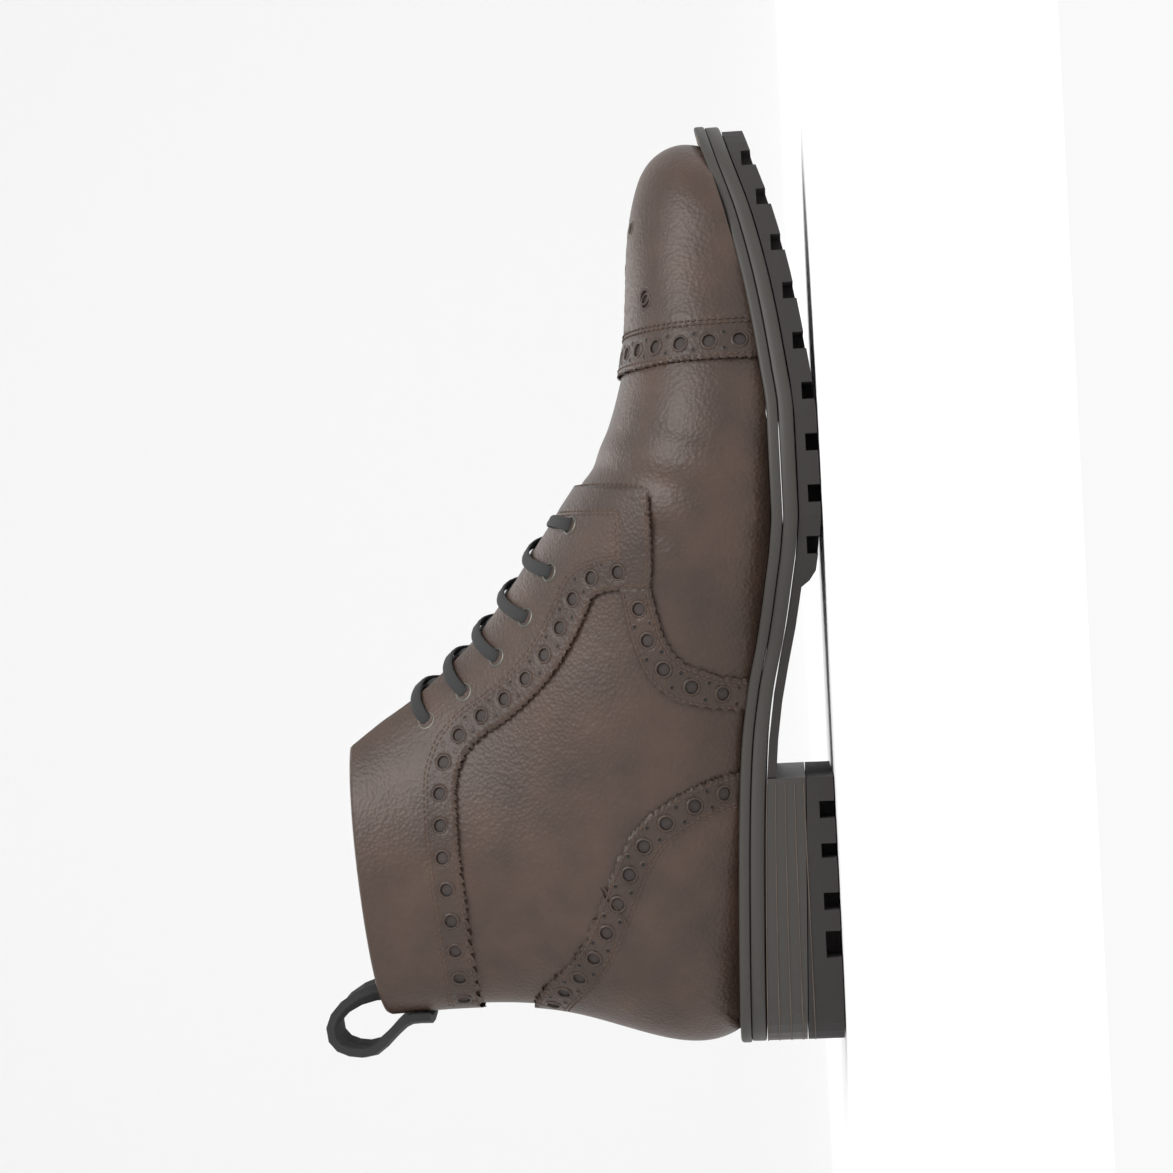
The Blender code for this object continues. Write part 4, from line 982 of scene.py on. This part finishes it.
class Boot:
    """The whole boot, built piece by piece on the last."""

    def __init__(self) -> None:
        """Set out the last, the seams and the trim."""
        self.last = Last()
        self.trim = Trim(self.last)
        self.lines = {name: outline(table, self.last, 8) for name, table in
                      (("cap", CAP_EDGE), ("facing", FACING_EDGE), ("front", WING_FRONT),
                       ("rear", WING_REAR), ("counter", COUNTER_EDGE))}
        self.thread = Mesh.empty("stitching")
        # The holes' floors: the underlay, darkened with painted shade at its edges, and near-black discs of
        # painted shade in the pricks.
        self.pits = Mesh.empty("punched_holes")

    def skin(self, side: Side, rows: tuple[float, float], pitch: float, names: Sequence[str]) -> Skin:
        """A grid over one side, between rows."""
        return Skin(self.last, side, {k: self.lines[k] for k in names}, rows, pitch)

    def punch(self, mesh: Mesh, line: Array, side: Side, pitch: float, lift: float) -> Array:
        """Punch a band: a large hole at each pitch and a pair of pricks between.

        Args:
            mesh: The panel, for the raised rims.
            line: The band's middle, in the side view.
            side: Which side.
            pitch: Spacing of the large holes.
            lift: The panel's height.

        Returns:
            The large holes' centres.
        """
        p, n, _ = self.trim.walk(line, side, pitch)
        # Raised rims with painted shade on their walls, floors darkened at their edges with painted shade,
        # and near-black discs of painted shade in the pricks.
        self.trim.turn(mesh, p, n, PUNCH, lift)
        self.trim.turn(self.pits, p, n, PUNCH_FLOOR, lift)
        q, m, t = self.trim.walk(line, side, pitch, 1.0)
        b = np.cross(m, t)
        for sign in (-1.0, 1.0):
            r = q + b * sign * 0.0027
            self.trim.turn(mesh, r, m, PRICK, lift, 12)
            self.trim.turn(self.pits, r, m, PRICK_SHADE_DISC, lift, 12)
        return p

    @staticmethod
    def sink(points: Array, holes: Array) -> Array:
        """How far the leather drops under large holes.

        Args:
            points: A grid of points.
            holes: Centres.

        Returns:
            Depths below nought.
        """
        drop = np.zeros(points.shape[:2])
        for c in holes:
            r = np.linalg.norm(points - c, axis=-1)
            drop = np.minimum(drop, -0.0009 * (1 - smooth((r - 0.0021) / 0.0005)))
        return drop

    @staticmethod
    def edge(inside: Array, run: Array) -> Array:
        """A panel's edge, cut in small scallops."""
        return inside + SCALLOP_DEPTH * (np.abs(np.cos(math.pi * run / SCALLOP_PITCH)) - 0.5)

    def seam(self, line: Array, side: Side, offsets: Sequence[float], lift: float) -> None:
        """Sew rows of stitches beside a panel's edge."""
        for offset in offsets:
            self.trim.sew(self.thread, self.trim.walk(shift(line, offset), side, self.trim.stitch), lift)

    def upper(self) -> None:
        """Vamp and quarters with soft creases, the lining, the collar's and throat's rolled edges."""
        outer, inner = Mesh.empty("upper"), Mesh.empty("lining")
        for side in Side:
            skin = self.skin(side, (TIP_ROW, self.last.rows), 0.00115, ("cap", "facing"))
            x, z = skin.points[..., 0], skin.points[..., 2]
            up = z - self.last.seat(x)
            crease = sum(-a * np.exp(-((x - c - 0.35 * (up - 0.02)) / w) ** 2) * smooth((up - 0.004) / 0.01)
                         for a, c, w in CREASES)
            waist = 0.0003 * np.sin(up / 0.0021 + x * 40) * np.exp(-((x - 0.13) / 0.035) ** 2) \
                * np.exp(-up / 0.007)
            height = crease * smooth((0.165 - x) / 0.02) * smooth((x - 0.095) / 0.02) + waist
            # The upper's foot is darkened with painted shade, strongest in the corner where it meets the
            # welt.
            outer.grid(skin.points + skin.normals * height[..., None], 0.25 * np.exp(-up / 0.0015))
            inner.grid(skin.points - skin.normals * WALL)
            rim = skin.points[-1] + skin.normals[-1] * -0.0004
            self.trim.bead(outer, rim, 0.0019, 10)
            edge = skin.points[:, 0] - skin.normals[:, 0] * 0.0004
            keep = skin.s[:, 0] > UPPER_OPEN_ROW + 0.02
            self.trim.bead(outer, edge[keep], 0.0017, 10)
        outer.build(LEATHER, "brown_leather", ("upper",))
        inner.build(LINING, "lining_leather")

    def toe_cap(self) -> None:
        """The punched cap, with its scalloped edge and the medallion."""
        mesh = Mesh.empty("toe_cap")
        x_edge = self.lines["cap"][:, 0].mean()
        lift = OVERLAY + CLEAR
        rows = np.linspace(TIP_ROW, 7.0, 400)
        ridge = self.last.section(rows)[0]
        holes = []

        def across(x: float) -> Array:
            """The line over the cap at one place along, from the ridge down to the welt."""
            order = np.argsort(ridge[:, 0])
            top = float(np.interp(x, ridge[order, 0], ridge[order, 1]))
            low = float(self.last.seat(x))
            z = top - (top - low) * np.linspace(0.0, 1.0, 160) ** 2.2
            return np.stack([np.full(160, x), z], -1)

        for side in Side:
            holes.append(self.punch(mesh, across(x_edge + 0.0058), side, CAP_HOLE_PITCH, lift))
            for offset in (0.0115, 0.0128, 0.0014):
                self.trim.sew(self.thread, self.trim.walk(across(x_edge + offset), side, 0.0021), lift)
            # The medallion's holes, with the same painted shade on their walls and in their floors as the
            # bands' holes.
            for marks, ring, floor, sides in ((MEDALLION_LARGE, PUNCH, PUNCH_FLOOR, 20),
                                              (MEDALLION_SMALL, PRICK, PRICK_SHADE_DISC, 12)):
                xy = np.array(marks) / 1000.0
                if side is Side.LATERAL:
                    xy = xy[xy[:, 1] > 1e-4]
                p, n = self.on_top(xy[:, 0], xy[:, 1] * side.value)
                self.trim.turn(mesh, p, n, ring, lift, sides)
                self.trim.turn(self.pits, p, n, floor, lift, sides)
                if ring is PUNCH:
                    holes.append(p)
        spots = np.concatenate(holes)
        for side in Side:
            skin = self.skin(side, (TIP_ROW, 6.9), 0.0007, ("cap",))
            dist, run = skin.seams["cap"]
            inside = self.edge(-dist, skin.points[..., 1] + run)
            height = lift * smooth((inside + 0.0003) / 0.0006) + self.sink(skin.points, spots)
            height -= sum(0.00025 * np.exp(-((inside - d) / 0.0005) ** 2) for d in (0.0115, 0.0128))
            shade = 0.22 * smooth((inside - 0.001) / 0.001) * smooth((0.0115 - inside) / 0.001)
            skin.panel(mesh, inside, height, shade)
        mesh.build(LEATHER, "brown_leather", ("toe_cap",))

    def on_top(self, x: Array, y: Array) -> tuple[Array, Array]:
        """Points over the toe's top from places in plan.

        Args:
            x: Places along.
            y: Places across, from the row's middle.

        Returns:
            Points and normals.
        """
        rows = np.linspace(0.1, 8.0, 300)
        out, normals = [], []
        for a, b in zip(x, y):
            p, n = self.last.over(rows, np.full(300, b), 0.0)
            i = int(np.argmin(np.abs(p[:, 0] - a)))
            out.append(p[i])
            normals.append(n[i])
        return np.array(out), np.array(normals)

    def panels(self) -> None:
        """Counter, wings and facings, with their punched bands and seams."""
        lift = OVERLAY + CLEAR
        counter = Mesh.empty("counter")
        for side in Side:
            name = side.name.lower()
            line = self.lines["counter"]
            spots = self.punch(counter, shift(line, 0.0052), side, HOLE_PITCH, lift)
            self.seam(line, side, (0.0013, 0.0092, 0.0104), lift)
            skin = self.skin(side, (9.6, self.last.rows), 0.0008, ("counter", "facing", "front", "rear"))
            dist, run = skin.seams["counter"]
            inside = self.edge(dist, run)
            height = lift * smooth((inside + 0.0003) / 0.0006) + self.sink(skin.points, spots)
            skin.panel(counter, inside, height, 0.22 * smooth((0.0098 - inside) / 0.001))
            wing = Mesh.empty("wing_" + name)
            front, rear = skin.seams["front"][0], skin.seams["rear"][0]
            middle = (outline(WING_FRONT, self.last, 8) + outline(WING_REAR, self.last, 8)) / 2
            spots = self.punch(wing, middle, side, HOLE_PITCH, lift)
            self.seam(self.lines["front"], side, (-0.0011, -0.0021), lift)
            self.seam(self.lines["rear"], side, (0.0011,), lift)
            fskin = self.skin(side, (8.2, self.last.rows), 0.0008, ("facing", "front", "rear"))
            front, rear = fskin.seams["front"], fskin.seams["rear"]
            facing, run = fskin.seams["facing"]
            inside = np.minimum(np.minimum(self.edge(-front[0], front[1]), rear[0]), facing + 0.0008)
            height = lift * smooth((inside + 0.0003) / 0.0006) + self.sink(fskin.points, spots)
            fskin.panel(wing, inside, height, np.full(inside.shape, 0.2))
            wing.build(LEATHER, "brown_leather", ("wing_" + name,))
            mesh = Mesh.empty("facing_" + name)
            line = self.lines["facing"]
            spots = self.punch(mesh, shift(line[44:], -0.0055), side, HOLE_PITCH, lift)
            self.seam(line, side, (-0.0012, -0.0096, -0.0108), lift)
            inside = self.edge(-facing, run)
            band = smooth((inside - 0.001) / 0.001) * smooth((0.010 - inside) / 0.001)
            height = (lift + 0.0001) * smooth((inside + 0.0003) / 0.0006) + self.sink(fskin.points, spots)
            fskin.panel(mesh, inside, height, 0.22 * band)
            mesh.build(LEATHER, "brown_leather", ("facing_" + name,))
        counter.build(LEATHER, "brown_leather", ("counter",))

    def eyelet(self, side: Side, k: int) -> tuple[float, float]:
        """Row and place across of an eyelet."""
        along, rise = EYELETS[k - 1]
        x = HEEL_BACK + along * SOLE_LENGTH
        s, f = self.last.find(np.array([[x, float(self.last.seat(x)) + rise * SHAFT_RISE]]))
        p = self.last.at(s, f, side.value)
        return float(s[0]), float(p[0, 1] - self.last.section(s)[2][0])

    def lacing(self) -> None:
        """Eyelets, and the flat lace through them: a bar at the bottom, then crossings over the tongue."""
        for side in Side:
            for k in range(1, 7):
                s, w = self.eyelet(side, k)
                p, n = self.last.over(np.array([s]), np.array([w]), 0.0)
                mesh = Mesh.empty(f"eyelet_{side.name.lower()}_{k}")
                # Each eyelet, with painted shade in its barrel and a black disc of painted shade over its
                # opening.
                self.trim.turn(mesh, p, n, EYELET, 0.0013, 28)
                self.trim.turn(mesh, p, n, EYELET_SHADE_DISC, 0.0013, 28)
                mesh.build(METAL, "eyelet_metal", (mesh.name,))
        rows = []
        s, w = self.eyelet(Side.LATERAL, 1)
        v = self.eyelet(Side.MEDIAL, 1)[1]
        rows.append(("lace_bar", [(s, w, -0.0005), (s, w + 0.0006, 0.0026), (s, w * 0.6, 0.0031),
                                  (s, 0.0, 0.0016), (s, v * 0.6, 0.0031), (s, v - 0.0006, 0.0026),
                                  (s, v, -0.0005)]))
        for k in range(2, 7):
            for side, rise in ((Side.MEDIAL, 0.0), (Side.LATERAL, 0.0013)):
                sign = side.value
                a, b = self.eyelet(side, k - 1)[0], self.eyelet(side, k)[0]
                w = abs(self.eyelet(side, k)[1])
                half = THROAT_HALF * float(self.last.throat(max(b, 9.0)))
                rows.append((f"lace_cross_{k - 1}", [
                    (a, -sign * (half + 0.0030), -0.0014),
                    (a + 0.2 * (b - a), -sign * (half - 0.001), -0.0012),
                    (a + 0.55 * (b - a), 0.0, 0.0010 + rise),
                    (b - 0.1 * (b - a), sign * (half + 0.0006), 0.0030),
                    (b, sign * (w - 0.0022), 0.0032),
                    (b, sign * (w + 0.0002), 0.0016),
                    (b, sign * w, -0.0008)]))
        meshes: dict[str, Mesh] = {}
        for name, knots in rows:
            k = np.array(knots)
            p, n = self.last.over(k[:, 0], k[:, 1], k[:, 2])
            width = np.interp(np.arange(len(k)), (0, len(k) - 3, len(k) - 1), (0.0042, 0.0042, 0.0032))
            self.trim.ribbon(meshes.setdefault(name, Mesh.empty(name)), p, n, width, 0.0013)
        for name, mesh in meshes.items():
            mesh.build(LACE, "lace_cotton", (name,))

    def inside(self) -> None:
        """The tongue under the lacing."""
        mesh = Mesh.empty("tongue")
        rows, across = np.linspace(7.3, self.last.rows - 0.15, 150), np.linspace(-1, 1, 60)
        half = TONGUE_HALF * (0.72 + 0.28 * np.clip((rows - 7.1) / 3.0, 0, 1))
        s = np.repeat(rows[:, None], 60, 1)
        w = half[:, None] * across[None]
        top, _ = self.last.over(s, w, -(WALL + CLEAR + FIT / 2))
        low, _ = self.last.over(s, w, -(WALL + CLEAR + TONGUE))
        mesh.grid(top)
        mesh.grid(low)
        mesh.grid(np.stack([top[-1], (top[-1] + low[-1]) / 2 + [0, 0, 0.0008], low[-1]]))
        mesh.build(TONGUE_SKIN, "tongue_leather", ("tongue",))

    def sole(self) -> None:
        """Welt with its groove and stitches, the midsole's edge, and the lines round the heel."""
        loop = plan_loop()
        run = np.roll(loop, -1, 0) - np.roll(loop, 1, 0)
        run /= np.linalg.norm(run, axis=1)[:, None]
        side = np.stack([-run[:, 1], run[:, 0]], -1)
        if ((loop.mean(0) - loop) * side).sum() < 0:
            side = -side
        for name, profile, finish, slot in (("welt", WELT_PROFILE, EDGE, "edge_leather"),
                                            ("midsole", MIDSOLE_PROFILE, EDGE, "edge_leather")):
            rows = np.array(profile) / 1000.0
            xy = loop[:, None] + side[:, None] * rows[None, :, :1]
            z = self.last.seat(xy[..., 0]) + rows[None, :, 1]
            mesh = Mesh.empty(name)
            surface = np.concatenate([xy, z[..., None]], -1)
            # The profiles' third column paints shade in the welt's stitch groove and on the faces where welt,
            # midsole and rubber meet.
            mesh.grid(np.concatenate([surface, surface[:1]]), rows[None, :, 2] * 1000.0)
            mesh.build(finish, slot, (name,))
        thread = Mesh.empty("welt_stitching")
        path = loop + side * 0.0029
        closed = np.concatenate([path, path[:1]])
        length = np.concatenate([[0], np.cumsum(np.linalg.norm(np.diff(closed, axis=0), axis=1))])
        want = np.arange(0, length[-1], WELT_STITCH_PITCH)
        p = np.stack([np.interp(want, length, closed[:, i]) for i in range(2)], -1)
        q = np.stack([np.interp(want + 5e-4, length, closed[:, i]) for i in range(2)], -1)
        rise = self.last.seat(q[:, 0]) - self.last.seat(p[:, 0])
        t = np.stack([q[:, 0] - p[:, 0], q[:, 1] - p[:, 1], rise], -1)
        t /= np.linalg.norm(t, axis=1)[:, None] + 1e-12
        p = np.stack([p[:, 0], p[:, 1], self.last.seat(p[:, 0])], -1)
        self.trim.sew(thread, (p, np.tile([0.0, 0.0, 1.0], (len(p), 1)), t), -0.0007, 0.0044, 0.00062)
        thread.build(WELT_THREAD, "edge_leather")
        self.seam_lines(loop, side)

    def seam_lines(self, loop: Array, side: Array) -> None:
        """Thin pale lines where the heel's lifts meet, round the heel's edge."""
        lines = Mesh.empty("heel_lines")
        back = loop[:, 0] < BREAST - 0.0015
        order = np.roll(np.arange(len(loop)), len(loop) // 2)
        picked = order[back[order]]
        edge = loop[picked] + side[picked] * (STACK_STEP - 0.00005)
        bottom = float(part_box("heel_stack")[0][2]) + 0.0004
        top = self.last.seat(edge[:, 0]) - WELT - MIDSOLE
        for share in (0.02, 0.26, 0.5, 0.74, 0.97):
            z = bottom + (top - bottom) * share
            self.trim.bead(lines, np.stack([edge[:, 0], edge[:, 1], z], -1), 0.0002, 6)
        lines.build(Finish("heel_line", (0.085, 0.066, 0.052), 0.6, 0.2), "edge_leather")

    def dress(self, nodes: dict[str, bpy.types.Object]) -> None:
        """Give the CAD nodes that stay their finishes."""
        for name, finish in (("outsole", RUBBER_SKIN), ("heel_stack", EDGE), ("heel_top_piece", RUBBER_SKIN),
                             ("insole", LINING), ("pull_loop", WEBBING)):
            data = nodes[name].data
            data.materials.clear()
            data.materials.append(finish.material())
            log.info("%s: dressed", name)

    def finish(self) -> None:
        """Build the shared stitching and the holes' floors, with their painted shade."""
        self.thread.build(THREAD, "brown_leather")
        self.pits.build(DISC, "brown_leather")


def placed(x: Array, y: Array, z: Array, origin: Array) -> Matrix:
    """The matrix that puts an object's axes and origin where they are given.

    Args:
        x: Its X axis.
        y: Its Y axis.
        z: Its Z axis.
        origin: Its origin.

    Returns:
        The matrix.
    """
    rows = [[*row, e] for row, e in zip(np.stack([x, y, z], 1), origin)]
    return Matrix(rows + [[0, 0, 0, 1]])


@dataclass(frozen=True)
class Studio:
    """Camera, floor and light, as in the picture."""

    roll: float = 2.8
    distance: float = 0.80
    height: float = 0.012
    lens: float = 74.0

    def build(self) -> None:
        """Place them."""
        scene = bpy.context.scene
        camera = bpy.data.cameras.new("camera")
        camera.lens, camera.sensor_width = self.lens, 36.0
        obj = bpy.data.objects.new("camera", camera)
        scene.collection.objects.link(obj)
        eye = np.array([0.105, -self.distance, self.height])
        aim = np.array([0.108, 0.0, 0.078])
        back = (eye - aim) / np.linalg.norm(eye - aim)
        a = math.radians(self.roll)
        up = np.array([math.cos(a), 0.0, -math.sin(a)])
        right = np.cross(up, back)
        right /= np.linalg.norm(right)
        up = np.cross(back, right)
        obj.matrix_world = placed(right, up, back, eye)
        scene.camera = obj
        world = bpy.data.worlds.new("world")
        world.use_nodes = True
        world.node_tree.nodes["Background"].inputs["Color"].default_value = (1.0, 1.0, 1.0, 1.0)
        world.node_tree.nodes["Background"].inputs["Strength"].default_value = 0.95
        scene.world = world
        scene.view_settings.view_transform = "Standard"
        data = bpy.data.meshes.new("floor")
        bend = np.linspace(0.0, math.pi / 2, 24)
        path = [(-3.0, 0.0)] + [(0.9 + math.sin(c), 1.0 - math.cos(c)) for c in bend] + [(1.9, 5.0)]
        points = [(x, y, z - 0.0004) for y, z in path for x in (-6.0, 6.0)]
        data.from_pydata(points, [], [(2 * i, 2 * i + 1, 2 * i + 3, 2 * i + 2) for i in range(len(path) - 1)])
        data.shade_smooth()
        floor = bpy.data.objects.new("floor", data)
        mat = bpy.data.materials.new("paper")
        mat.use_nodes = True
        mat.node_tree.nodes["Principled BSDF"].inputs["Base Color"].default_value = (0.9, 0.9, 0.9, 1)
        mat.node_tree.nodes["Principled BSDF"].inputs["Roughness"].default_value = 0.9
        data.materials.append(mat)
        scene.collection.objects.link(floor)
        for name, place, size, power in LAMPS:
            light = bpy.data.lights.new(name, "AREA")
            light.size, light.energy = size, power
            lamp = bpy.data.objects.new(name, light)
            spot = np.array(place)
            z = (spot - aim) / np.linalg.norm(spot - aim)
            x = np.cross([0, 0, 1.0], z)
            x /= np.linalg.norm(x)
            y = np.cross(z, x)
            lamp.matrix_world = placed(x, y, z, spot)
            scene.collection.objects.link(lamp)


def main() -> None:
    """Build the boot over the frame, then the studio."""
    logging.basicConfig(level=logging.INFO)
    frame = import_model()
    boot = Boot()
    for step in (boot.upper, boot.toe_cap, boot.panels, boot.lacing, boot.inside, boot.sole, boot.finish):
        step()
    boot.dress(frame["nodes"])
    Studio().build()


if __name__ == "__main__":
    main()
